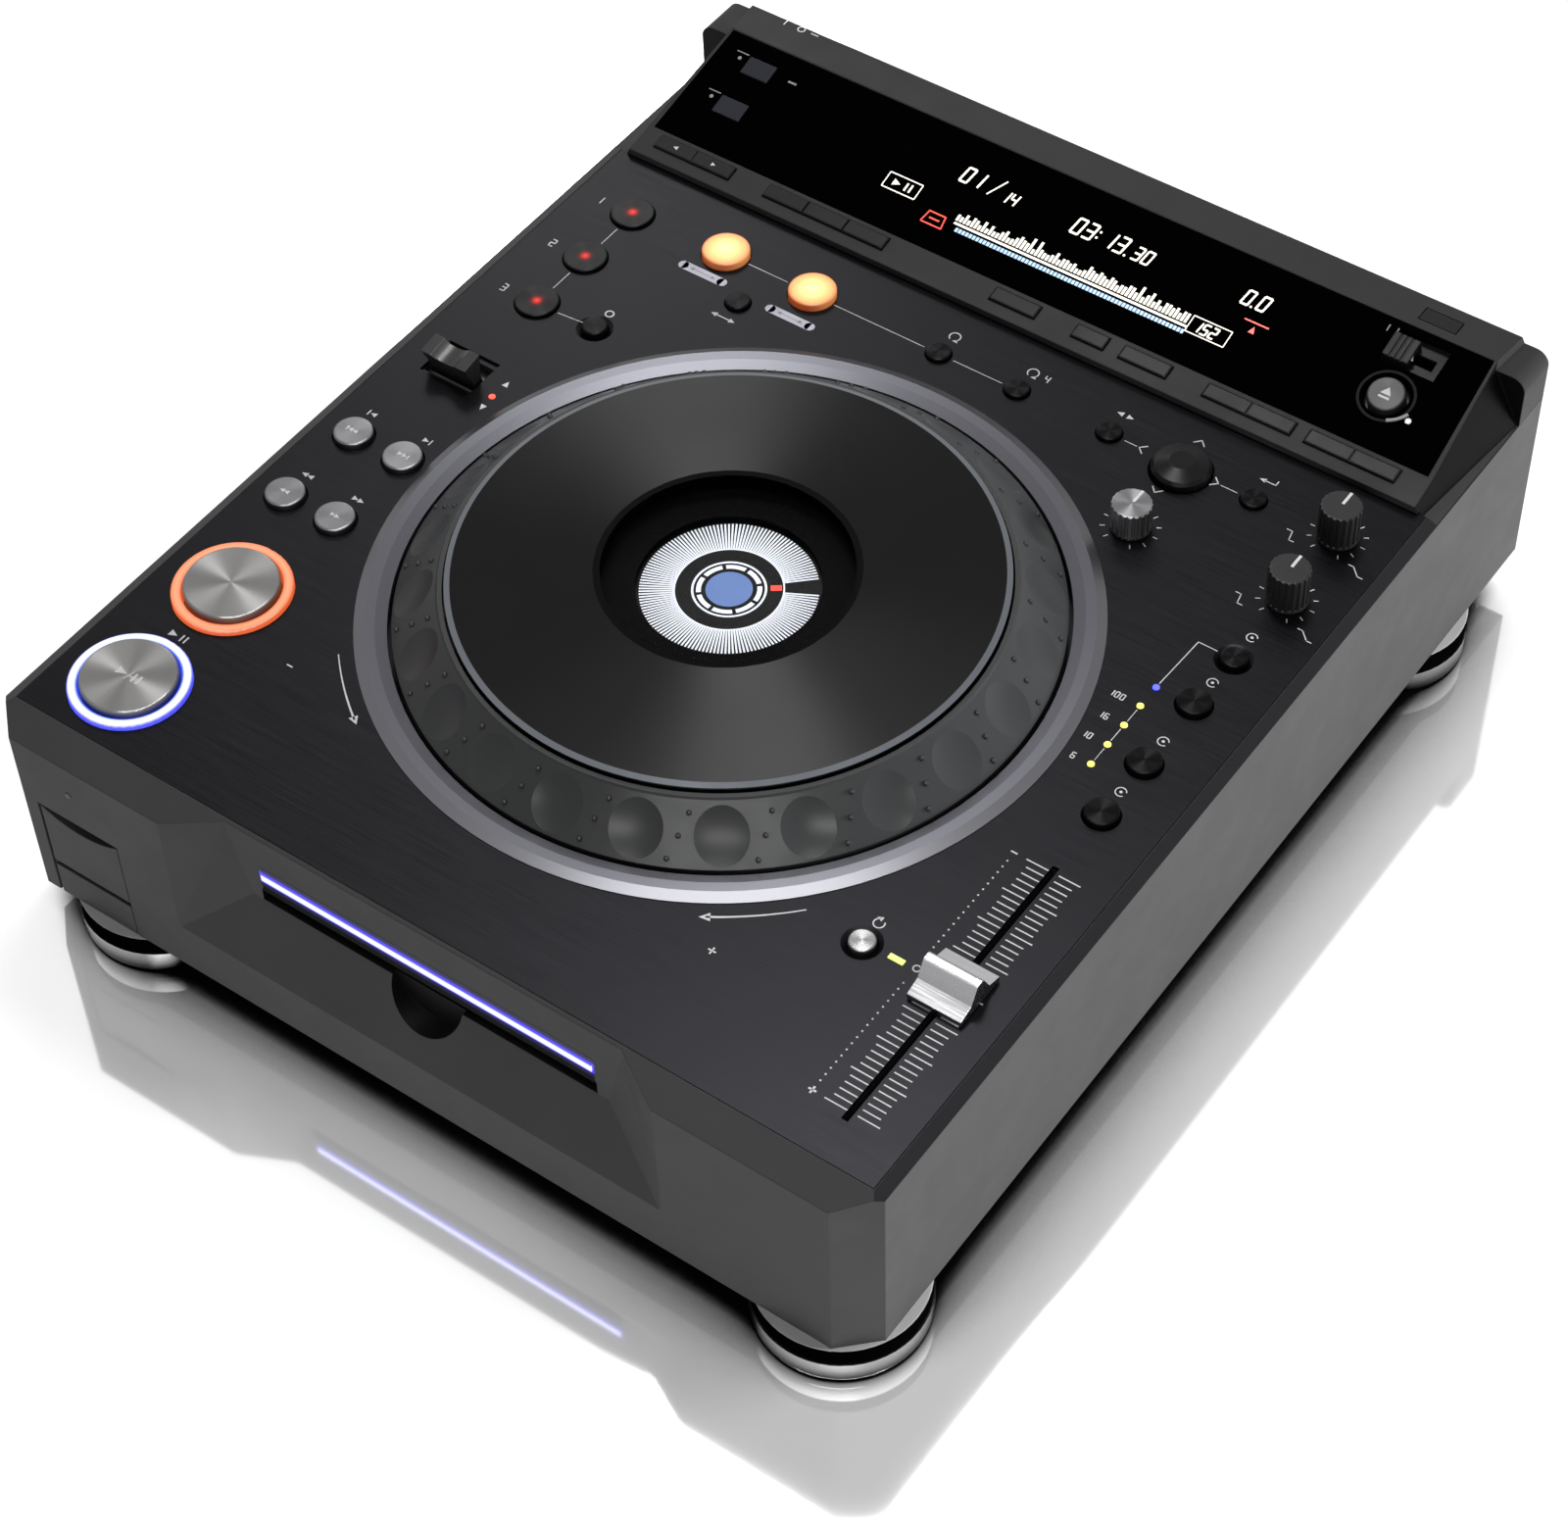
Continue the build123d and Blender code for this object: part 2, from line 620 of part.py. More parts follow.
POWER_PARTS = ((10.0, 20.0, 40.0, 30.0, 22.4), (70.0, 20.0, 40.0, 60.0, 14.4))
POWER_POST_R = 2.5
POWER_POST_INSET = 6.0

# Rear panel
POWER_X = LEFT + 47.0
POWER_Z = PANEL_TOP - 20.0
POWER_HALF = 4.5
POWER_LIFT = 0.6
POWER_ROUND = 0.4
POWER_CAP_L = 6.0
POWER_STEM_L = 8.0
POWER_STEM_HALF = 2.0
SOCKET_Z = PANEL_TOP - 30.0
SOCKET_PROUD = 2.6
SOCKET_END = PANEL_FACE + SOCKET_PROUD
SOCKET_R = 4.1
SOCKET_BORE_R = 1.7
SOCKET_GAP = 0.2
SOCKET_CASE = 1.5
SOCKET_CASE_L = 12.0
SOCKET_BODY_L = 8.0
SOCKET_BORE_L = 4.0
JACK_R = 3.2
JACK_BORE_R = 1.75
INLET_X = RIGHT - 36.0
INLET_Z = PANEL_TOP - 40.0
INLET_W = 22.0
INLET_H = 12.0
INLET_L = 20.0
INLET_WALL = 2.0
INLET_RIM = 2.0
INLET_RIM_T = 0.8
INLET_DEPTH = 14.0
INLET_PIN_R = 1.2
INLET_PIN_X = 4.3
INLET_PIN_BACK = 3.0
SOCKETS_X = tuple(INLET_X - step for step in (190.0, 172.0, 148.0, 126.0, 104.0, 82.0, 60.0))
JACKS_X = (INLET_X - 38.0, INLET_X - 24.0)


# Small building helpers

def block(x0, x1, y0, y1, z0, z1):
    box = Box(x1 - x0, y1 - y0, z1 - z0)
    return Pos((x0 + x1) / 2, (y0 + y1) / 2, (z0 + z1) / 2) * box


def disc(x, y, r, z0, z1):
    base = (Align.CENTER, Align.CENTER, Align.MIN)
    return Pos(x, y, z0) * Cylinder(r, z1 - z0, align=base)


def tube(x, y, r_in, r_out, z0, z1):
    return disc(x, y, r_out, z0, z1) - disc(x, y, r_in, z0 - MORE, z1 + MORE)


def rod_x(y, z, r, x0, x1):
    return Pos((x0 + x1) / 2, y, z) * Rot(0, 90, 0) * Cylinder(r, x1 - x0)


def rod_y(x, z, r, y0, y1):
    return Pos(x, (y0 + y1) / 2, z) * Rot(90, 0, 0) * Cylinder(r, y1 - y0)


def prism_x(outline, x0, x1):
    face = make_face(Polyline(*[(x0, y, z) for y, z in outline], close=True))
    return extrude(face, amount=x1 - x0, dir=(1, 0, 0))


def prism_y(outline, y0, y1):
    face = make_face(Polyline(*[(x, y0, z) for x, z in outline], close=True))
    return extrude(face, amount=y1 - y0, dir=(0, 1, 0))


def prism_z(outline, z0, z1):
    face = make_face(Polyline(*[(x, y, z0) for x, y in outline], close=True))
    return extrude(face, amount=z1 - z0, dir=(0, 0, 1))


def turned(outline):
    face = make_face(Polyline(*[(r, 0, z) for r, z in outline], close=True))
    return revolve(face, axis=Axis.Z)


def around_jog(shape):
    return Pos(0, JOG_Y, 0) * shape


def save(name, shape):
    export_step(shape, f"parts/{name}.step")


# The two sloped surfaces of the housing, each with its own frame

def slope_frame(y0, z0, y1, z1):
    angle = math.atan2(z1 - z0, y1 - y0)
    normal = (0, -math.sin(angle), math.cos(angle))
    return Plane(origin=(0, y0, z0), x_dir=(1, 0, 0), z_dir=normal), math.cos(angle), math.tan(angle)


WINDOW_FRAME, WINDOW_COS, WINDOW_TAN = slope_frame(
    WINDOW_FRONT_Y, DECK_TOP + WINDOW_FRONT_H, WINDOW_BACK_Y, DECK_TOP + WINDOW_BACK_H)
LEDGE_FRAME, LEDGE_COS, LEDGE_TAN = slope_frame(
    NOSE_Y, DECK_TOP + NOSE_H, WINDOW_FRONT_Y, DECK_TOP + WINDOW_FRONT_H)


def on_window(x, y):
    return WINDOW_FRAME.location * Pos(x, (y - WINDOW_FRONT_Y) / WINDOW_COS, 0)


def on_ledge(x, y):
    return LEDGE_FRAME.location * Pos(x, (y - NOSE_Y) / LEDGE_COS, 0)


def window_z(y, depth):
    return DECK_TOP + WINDOW_FRONT_H + (y - WINDOW_FRONT_Y) * WINDOW_TAN - depth / WINDOW_COS


def ledge_z(y, depth):
    return DECK_TOP + NOSE_H + (y - NOSE_Y) * LEDGE_TAN - depth / LEDGE_COS


# Holes that the deck and the top plate share

def hole_radius(name):
    radius = ROUND_BUTTONS[name][2]
    if name in GLOW_BUTTONS:
        return GLOW_RING_OUT + PLATE_GAP
    if name in BEZEL_BUTTONS:
        return radius + BEZEL_GAP
    return radius + BUTTON_GAP


def deck_holes(z0, z1):
    holes = [disc(x, y, hole_radius(name), z0, z1) for name, (x, y, r, h) in ROUND_BUTTONS.items()]
    holes += [disc(x, y, KNOB_SHAFT_R + KNOB_SHAFT_GAP, z0, z1) for x, y, h in KNOBS.values()]
    holes += [disc(x, y, LAMP_R + LAMP_GAP, z0, z1) for x, y in lamp_places()]
    holes.append(disc(CURSOR_X, CURSOR_Y, CURSOR_HOLE_R, z0, z1))
    half = FADER_SLOT_W / 2
    holes.append(block(FADER_X - half, FADER_X + half, FADER_SLOT_FRONT, FADER_SLOT_BACK, z0, z1))
    holes.append(reset_lamp_block(LAMP_GAP, z0, z1))
    return holes


def lamp_places():
    column = [(LAMP_X, LAMP_FIRST_Y - i * LAMP_PITCH) for i in range(LAMP_COUNT)]
    return [(LAMP_X, LAMP_TOP_Y), DIRECTION_LAMP] + column


def reset_lamp_block(gap, z0, z1):
    half_l = RESET_LAMP_L / 2 + gap
    half_w = RESET_LAMP_W / 2 + gap
    return block(RESET_LAMP_X - half_l, RESET_LAMP_X + half_l,
                 RESET_LAMP_Y - half_w, RESET_LAMP_Y + half_w, z0, z1)


def lever_slot(half_l, z0, z1):
    return block(LEVER_X - LEVER_SLOT_HALF_W, LEVER_X + LEVER_SLOT_HALF_W,
                 LEVER_Y - half_l, LEVER_Y + half_l, z0, z1)


# Cabinet

def plan_outline(inset):
    half = HALF_W - inset
    front = BODY_FRONT + inset
    cut = CORNER_CUT - inset * (2 - math.sqrt(2))
    return [(-half, BODY_BACK - inset), (-half, front + cut), (-half + cut, front),
            (half - cut, front), (half, front + cut), (half, BODY_BACK - inset)]


def cavity_outline(inset):
    left_back, left_front, left_cut, right_cut, right_front, right_back = plan_outline(inset)
    side = RECESS_MOUTH_HALF + inset
    step = RECESS_WALL + inset
    return [left_back, left_front, left_cut, (-side, left_cut[1]), (-side, step),
            (side, step), (side, right_cut[1]), right_cut, right_front, right_back]


def front_recess():
    k = (RECESS_DEPTH + MORE) / RECESS_DEPTH
    y0 = BODY_FRONT - MORE
    top = DECK_TOP - BEVEL_H
    high = DECK_TOP + MORE
    mouth = RECESS_TOP_HALF + (RECESS_MOUTH_HALF - RECESS_TOP_HALF) * k
    low = RECESS_LOW_HALF + (RECESS_MOUTH_HALF - RECESS_LOW_HALF) * k
    low_z = RECESS_LOW + (RECESS_MOUTH_LOW - RECESS_LOW) * k

    def corners(side):
        inner_high = (side * RECESS_TOP_HALF, RECESS_WALL, high)
        inner_top = (side * RECESS_TOP_HALF, RECESS_WALL, top)
        inner_low = (side * RECESS_LOW_HALF, RECESS_WALL, RECESS_LOW)
        mouth_low = (side * low, y0, low_z)
        mouth_top = (side * mouth, y0, top)
        mouth_high = (side * mouth, y0, high)
        return inner_high, inner_top, inner_low, mouth_low, mouth_top, mouth_high

    a, b, c, d, e, f = corners(-1)
    g, h, i, j, k2, l = corners(1)
    outlines = [(a, b, c, i, h, g), (c, d, j, i), (d, e, f, l, k2, j), (a, g, l, f),
                (a, b, e, f), (b, d, e), (b, c, d), (g, h, k2, l), (h, j, k2), (h, i, j)]
    faces = [Face(Wire.make_polygon([Vector(*p) for p in outline], close=True)) for outline in outlines]
    return Solid(Shell(faces))


def side_chamfer(side):
    inner = HALF_W - SIDE_CHAMFER_W
    outer = HALF_W + SIDE_CHAMFER_W
    low = DECK_TOP - 2 * SIDE_CHAMFER_H
    high = DECK_TOP + MORE
    outline = [(side * inner, DECK_TOP), (side * outer, low), (side * outer, high), (side * inner, high)]
    return prism_y(outline, BODY_FRONT - MORE, BODY_BACK + MORE)


def front_bevel():
    back = BODY_FRONT + BEVEL_L
    front = BODY_FRONT - BEVEL_L
    high = DECK_TOP + MORE
    outline = [(back, DECK_TOP), (front, DECK_TOP - 2 * BEVEL_H), (front, high), (back, high)]
    return prism_x(outline, -HALF_W - MORE, HALF_W + MORE)


def finger_notch():
    front = BODY_FRONT - MORE
    back = RECESS_WALL + NOTCH_DEPTH
    half_disc = rod_y(0, RECESS_LOW, NOTCH_R, front, back)
    upper = block(-NOTCH_R - MORE, NOTCH_R + MORE, front - MORE, back + MORE, RECESS_LOW, RECESS_LOW + NOTCH_R + MORE)
    return half_disc - upper


def door_hole():
    return block(DOOR_LEFT - DOOR_GAP, DOOR_RIGHT + DOOR_SIDE_GAP, BODY_FRONT - MORE, BODY_FRONT + WALL + MORE,
                 DOOR_LOW - DOOR_GAP, BAY_TOP)


def card_bay():
    x0 = DOOR_LEFT - DOOR_GAP
    x1 = DOOR_RIGHT + DOOR_SIDE_GAP
    y0 = BODY_FRONT + WALL
    y1 = y0 + BAY_DEPTH
    z0 = DOOR_LOW - DOOR_GAP
    outer = block(x0 - BAY_WALL, x1 + BAY_WALL, y0, y1, z0 - BAY_WALL, BAY_TOP + BAY_WALL)
    return outer - block(x0, x1, y0 - MORE, y1 - BAY_WALL, z0, BAY_TOP)


def door_pin_bores():
    y = BODY_FRONT + DOOR_T / 2
    z = DOOR_LOW + DOOR_T / 2
    left = DOOR_LEFT - DOOR_GAP - DOOR_BORE_L
    right = DOOR_RIGHT + DOOR_SIDE_GAP + DOOR_BORE_L
    return rod_x(y, z, DOOR_PIN_R + DOOR_PIN_GAP, left, right)


def jog_well():
    ring = tube(0, 0, WELL_R, WELL_R + WELL_WALL, WELL_FLOOR - WELL_FLOOR_T, DECK_UNDER)
    floor = disc(0, 0, WELL_R + WELL_WALL, WELL_FLOOR - WELL_FLOOR_T, WELL_FLOOR)
    post = disc(0, 0, POST_R, WELL_FLOOR, POST_TOP)
    bore = disc(0, 0, POST_BORE_R, WELL_FLOOR - WELL_FLOOR_T - MORE, POST_TOP + MORE)
    return around_jog(ring + floor + post - bore)


def pan_lug(x, y):
    side = math.copysign(1, x)
    inner = x - side * PAN_LUG_HALF
    outer = side * (INNER_HALF_W + JOIN)
    lug = block(min(inner, outer), max(inner, outer), y - PAN_LUG_HALF, y + PAN_LUG_HALF,
                PAN_TOP, PAN_TOP + PAN_LUG_H)
    return lug - disc(x, y, SCREW_R + SCREW_GAP, FOOT_H, PAN_TOP + PAN_BORE_L)


def panel_lug(side):
    z0 = PANEL_SCREW_Z[0] - PANEL_LUG_EDGE
    z1 = PANEL_SCREW_Z[1] + PANEL_LUG_EDGE
    x_in = side * (PANEL_SCREW_X - PANEL_LUG_HALF)
    x_out = side * (INNER_HALF_W + JOIN)
    lug = block(min(x_in, x_out), max(x_in, x_out), PANEL_BACK - PANEL_LUG_L, PANEL_BACK, z0, z1)
    for z in PANEL_SCREW_Z:
        lug -= rod_y(side * PANEL_SCREW_X, z, SCREW_R + SCREW_GAP, PANEL_BACK - PANEL_SCREW_L - MORE, PANEL_FACE)
    return lug


def lever_ears():
    ears = []
    for side in (-1, 1):
        x = LEVER_X + side * (LEVER_HALF_W + LEVER_EAR_GAP + LEVER_EAR_T / 2)
        ear = block(x - LEVER_EAR_T / 2, x + LEVER_EAR_T / 2, LEVER_Y - LEVER_EAR_HALF_L, LEVER_Y + LEVER_EAR_HALF_L,
                    LEVER_PIVOT_Z - LEVER_EAR_DROP, DECK_UNDER)
        ears.append(ear)
    return ears


def cabinet():
    shell = prism_z(plan_outline(0), FOOT_H, DECK_TOP)
    shell -= [side_chamfer(-1), side_chamfer(1), front_bevel(), front_recess(), finger_notch()]
    shell -= prism_z(cavity_outline(WALL), FOOT_H - MORE, DECK_UNDER)
    seat_half = PLATE_HALF_W + PLATE_GAP
    shell -= block(-seat_half, seat_half, PLATE_FRONT - PLATE_GAP, PLATE_BACK + PLATE_GAP, DECK_SEAT, DECK_TOP + MORE)
    shell -= block(-HALF_W - MORE, HALF_W + MORE, PLATE_BACK + PLATE_GAP, BODY_BACK + MORE,
                   DECK_SEAT, DECK_TOP + MORE)
    shell -= block(-HOUSING_INNER_HALF, HOUSING_INNER_HALF, HOUSING_FOOT_Y + HOUSING_WALL - HOUSING_FLOOR_EDGE,
                   BODY_BACK - HOUSING_FLOOR_LIP, DECK_UNDER - MORE, DECK_SEAT + MORE)
    panel_half = PANEL_HALF_W + PANEL_GAP
    shell -= block(-panel_half, panel_half, BODY_BACK - WALL - MORE, BODY_BACK + MORE,
                   FOOT_H - MORE, PANEL_TOP + PANEL_GAP)
    shell -= around_jog(disc(0, 0, WELL_R, DECK_UNDER - MORE, DECK_TOP + MORE))
    shell -= block(-SLOT_HALF_W, SLOT_HALF_W, BODY_FRONT, RECESS_WALL + WALL + MORE, RECESS_LOW, SLOT_TOP)
    strip_half = STRIP_HALF_W + STRIP_GAP
    shell -= block(-strip_half, strip_half, RECESS_WALL - MORE, RECESS_WALL + WALL + MORE,
                   STRIP_Z - STRIP_GAP, STRIP_Z + STRIP_H + STRIP_GAP)
    shell -= deck_holes(DECK_UNDER - MORE, DECK_TOP + MORE)
    shell -= lever_slot(LEVER_SLOT_HALF_L, DECK_UNDER - MORE, DECK_TOP + MORE)
    shell -= door_hole()
    shell -= rod_y(CARD_LAMP_X, CARD_LAMP_Z, LAMP_R + LAMP_GAP, BODY_FRONT - MORE, BODY_FRONT + WALL + MORE)
    for x0, x1 in ((DOOR_LEFT - DOOR_GAP, DOOR_LEFT), (DOOR_RIGHT, DOOR_RIGHT + DOOR_SIDE_GAP)):
        shell -= block(x0, x1, BODY_FRONT - MORE, BODY_FRONT + DOOR_GROOVE, FOOT_H - MORE, DOOR_LOW)
    shell += jog_well()
    shell += card_bay()
    shell += lever_ears()
    shell += [pan_lug(x, y) for x, y in PAN_SCREWS]
    shell += [panel_lug(-1), panel_lug(1)]
    shell -= door_pin_bores()
    reach = LEVER_HALF_W + LEVER_EAR_GAP + LEVER_EAR_T + MORE
    shell -= rod_x(LEVER_Y, LEVER_PIVOT_Z, LEVER_PIN_R + LEVER_PIN_GAP, LEVER_X - reach, LEVER_X + reach)
    reach = CURSOR_HOLE_R + CURSOR_BORE_L
    shell -= rod_x(CURSOR_Y, CURSOR_PIVOT_Z, CURSOR_BORE_R, CURSOR_X - reach, CURSOR_X + reach)
    return shell


def top_plate():
    plate = block(-PLATE_HALF_W, PLATE_HALF_W, PLATE_FRONT, PLATE_BACK, DECK_SEAT, DECK_TOP)
    plate -= deck_holes(DECK_SEAT - MORE, DECK_TOP + MORE)
    plate -= lever_slot(LEVER_DISH_HALF_L, DECK_SEAT - MORE, DECK_TOP + MORE)
    plate -= around_jog(disc(0, 0, RING_CREST_R + RING_SEAT_W + RING_PLATE_GAP, DECK_SEAT - MORE, DECK_TOP + MORE))
    for name in DISHED_BUTTONS:
        x, y, r, h = ROUND_BUTTONS[name]
        base = (Align.CENTER, Align.CENTER, Align.MIN)
        cone = Cone(hole_radius(name), hole_radius(name) + DISH_W, DISH_DEPTH, align=base)
        plate -= Pos(x, y, DECK_TOP - DISH_DEPTH) * cone
    return plate


# Jog wheel group

def jog_ring():
    outer_seat = RING_CREST_R + RING_SEAT_W
    outline = [(RING_INNER_R, DECK_SEAT), (RING_INNER_R, DECK_TOP + RING_INNER_H),
               (RING_STEP_R, DECK_TOP + RING_STEP_H), (RING_CREST_R, DECK_TOP + RING_CREST_H),
               (RING_OUTER_R, DECK_TOP + RING_EDGE_H), (RING_OUTER_R, DECK_TOP),
               (outer_seat, DECK_TOP), (outer_seat, DECK_SEAT)]
    return around_jog(turned(outline))


def wheel_body():
    edge = DECK_TOP + WHEEL_EDGE_H
    slope_top = DECK_TOP + SLOPE_TOP_H
    lip = DECK_TOP + LIP_H
    inner_r = WHEEL_R - WHEEL_WALL
    outline = [(POST_R + BEARING_GAP, WHEEL_LOW), (HUB_R, WHEEL_LOW), (HUB_R, WEB_LOW), (LIP_R, WEB_LOW),
               (LIP_R + WHEEL_WALL, WEB_LOW), (LIP_R + WHEEL_WALL, DECK_TOP + WHEEL_SKIN_TOP),
               (inner_r, DECK_TOP - WHEEL_SKIN_LOW), (inner_r, WHEEL_LOW), (WHEEL_R, WHEEL_LOW),
               (WHEEL_R, edge), (SLOPE_TOP_R, slope_top), (SLOPE_TOP_R - WHEEL_LIP_STEP, lip), (LIP_R, lip),
               (LIP_R, WEB_TOP), (HUB_R, WEB_TOP), (POST_R + BEARING_GAP, WEB_TOP)]
    return turned(outline)


def slope_height(r):
    edge = DECK_TOP + WHEEL_EDGE_H
    rise = SLOPE_TOP_H - WHEEL_EDGE_H
    return edge + rise * (WHEEL_R - r) / (WHEEL_R - SLOPE_TOP_R)


def jog_wheel():
    wheel = Rot(0, 0, DIMPLE_START) * wheel_body()
    run = WHEEL_R - SLOPE_TOP_R
    rise = SLOPE_TOP_H - WHEEL_EDGE_H
    length = math.hypot(run, rise)
    ball_r = (DIMPLE_R ** 2 + DIMPLE_DEPTH ** 2) / (2 * DIMPLE_DEPTH)
    lift = ball_r - DIMPLE_DEPTH
    ball_at_r = DIMPLE_AT_R + lift * rise / length
    ball_at_z = slope_height(DIMPLE_AT_R) + lift * run / length
    dents = []
    nubs = []
    step = 360.0 / DIMPLES
    for i in range(DIMPLES):
        angle = DIMPLE_START + i * step
        dents.append(Rot(0, 0, angle) * Pos(ball_at_r, 0, ball_at_z) * Sphere(ball_r))
        for inset, lean in zip(NUB_INSETS, (NUB_LEAN, 0, -NUB_LEAN)):
            radius = WHEEL_R - inset
            turn = Rot(0, 0, angle + step / 2 + lean)
            nubs.append(turn * Pos(radius, 0, slope_height(radius)) * Sphere(NUB_R))
    wheel -= dents
    wheel += nubs
    return around_jog(wheel)


def jog_plate():
    edge = DECK_TOP + JOG_PLATE_EDGE_H
    rim = DECK_TOP + JOG_RIM_H
    lens = DECK_TOP + JOG_LENS_H
    under = rim - JOG_PLATE_T
    skirt_low = DECK_TOP + JOG_SKIRT_LOW
    outline = [(JOG_LENS_R, lens - JOG_PLATE_T), (JOG_LENS_R, lens), (JOG_RIM_R, rim), (JOG_PLATE_R, edge),
               (JOG_PLATE_R, skirt_low), (JOG_PLATE_R - JOG_SKIRT_T, skirt_low), (JOG_PLATE_R - JOG_SKIRT_T, under)]
    plate = turned(outline)
    peg_low = WEB_TOP + JOG_TOUCH + PEG_GAP
    for i in range(PEGS):
        plate += Rot(0, 0, i * 360.0 / PEGS) * disc(PEG_AT_R, 0, PEG_R, peg_low, under + JOIN)
    window = disc(0, 0, JOG_LENS_R, lens - JOG_PLATE_T, lens)
    return Compound(children=[around_jog(plate).solid(), around_jog(window).solid()])


def jog_display():
    floor = disc(0, 0, SCREEN_R + SCREEN_WALL, POST_TOP, POST_TOP + SCREEN_BASE_T)
    screen_z = DECK_TOP + SCREEN_H
    wall = tube(0, 0, SCREEN_R, SCREEN_R + SCREEN_WALL, POST_TOP + SCREEN_BASE_T, screen_z + SCREEN_RIM_H)
    core = disc(0, 0, SCREEN_R, POST_TOP + SCREEN_BASE_T, screen_z)
    plug = disc(0, 0, POST_BORE_R - SCREEN_PLUG_GAP, POST_TOP - SCREEN_PLUG_L, POST_TOP)
    return around_jog(floor + wall + core + plug)


# Deck controls

def round_button(name):
    x, y, r, h = ROUND_BUTTONS[name]
    travel = BIG_TRAVEL if name in GLOW_BUTTONS else TRAVEL
    under = DECK_UNDER - FLANGE_CLEAR
    cap = disc(x, y, r, under - FLANGE_T, DECK_TOP + h)
    top_edge = cap.edges().sort_by(Axis.Z)[-1]
    cap = fillet(top_edge, min(BUTTON_ROUND_SHARE * h, BUTTON_ROUND))
    flange_r = hole_radius(name) + FLANGE_W
    if name in GLOW_BUTTONS:
        flange_r = GLOW_RING_OUT + FLANGE_W
        under -= GLOW_FLANGE_DROP
    cap += disc(x, y, flange_r, under - FLANGE_T, under)
    stem_low = SWITCH_TOP + travel + SWITCH_CLEAR
    return cap + disc(x, y, STEM_R, stem_low, under)


def light_ring(x, y):
    upper = tube(x, y, GLOW_RING_IN, GLOW_RING_OUT, DECK_UNDER, DECK_TOP + GLOW_RING_H)
    crest = upper.edges().group_by(Axis.Z)[-1]
    return fillet(crest, GLOW_RING_ROUND)


def knob(name):
    x, y, h = KNOBS[name]
    low = DECK_TOP + KNOB_LIFT
    body = disc(0, 0, KNOB_R, low, low + h)
    body = fillet(body.edges().sort_by(Axis.Z)[-1], KNOB_ROUND)
    flutes = []
    for i in range(KNOB_RIBS):
        turn = Rot(0, 0, i * 360.0 / KNOB_RIBS)
        flutes.append(turn * disc(KNOB_R + KNOB_RIB_OUT, 0, KNOB_RIB_R, low + KNOB_RIB_START, low + h + MORE))
    body -= flutes
    body -= block(-KNOB_MARK_W / 2, KNOB_MARK_W / 2, KNOB_MARK_START, KNOB_R + MORE,
                  low + h - KNOB_MARK_DEPTH, low + h + MORE)
    body += disc(0, 0, KNOB_SHAFT_R, BOARD_TOP + POT_H + POT_CLEAR, low)
    return Pos(x, y, 0) * body


def tempo_fader():
    low = DECK_TOP + FADER_CAP_LOW
    ridge = DECK_TOP + FADER_RIDGE_H
    lip = DECK_TOP + FADER_LIP_H
    waist = DECK_TOP + FADER_WAIST_H
    half_waist = FADER_WAIST_L / 2
    half_l = FADER_CAP_L / 2
    half_ridge = FADER_RIDGE_L / 2
    outline = [(FADER_Y - half_l, low), (FADER_Y + half_l, low), (FADER_Y + half_l, lip),
               (FADER_Y + half_waist, waist), (FADER_Y + half_ridge, ridge), (FADER_Y - half_ridge, ridge),
               (FADER_Y - half_waist, waist), (FADER_Y - half_l, lip)]
    cap = prism_x(outline, FADER_X - FADER_CAP_W / 2, FADER_X + FADER_CAP_W / 2)
    ridge_edges = cap.edges().filter_by(Axis.X).group_by(Axis.Z)[-1]
    cap = fillet(ridge_edges, FADER_ROUND)
    half_w = FADER_STEM_W / 2
    carriage_low = FADER_BODY_TOP - FADER_LID_T - FADER_LID_GAP - FADER_CARRIAGE_H
    cap += block(FADER_X - half_w, FADER_X + half_w, FADER_Y - FADER_STEM_L / 2, FADER_Y + FADER_STEM_L / 2,
                 carriage_low, low)
    inner = FADER_BODY_HALF_W - FADER_BODY_WALL - FADER_CARRIAGE_GAP
    cap += block(FADER_X - inner, FADER_X + inner, FADER_Y - FADER_CARRIAGE_L / 2, FADER_Y + FADER_CARRIAGE_L / 2,
                 carriage_low, carriage_low + FADER_CARRIAGE_H)
    return cap


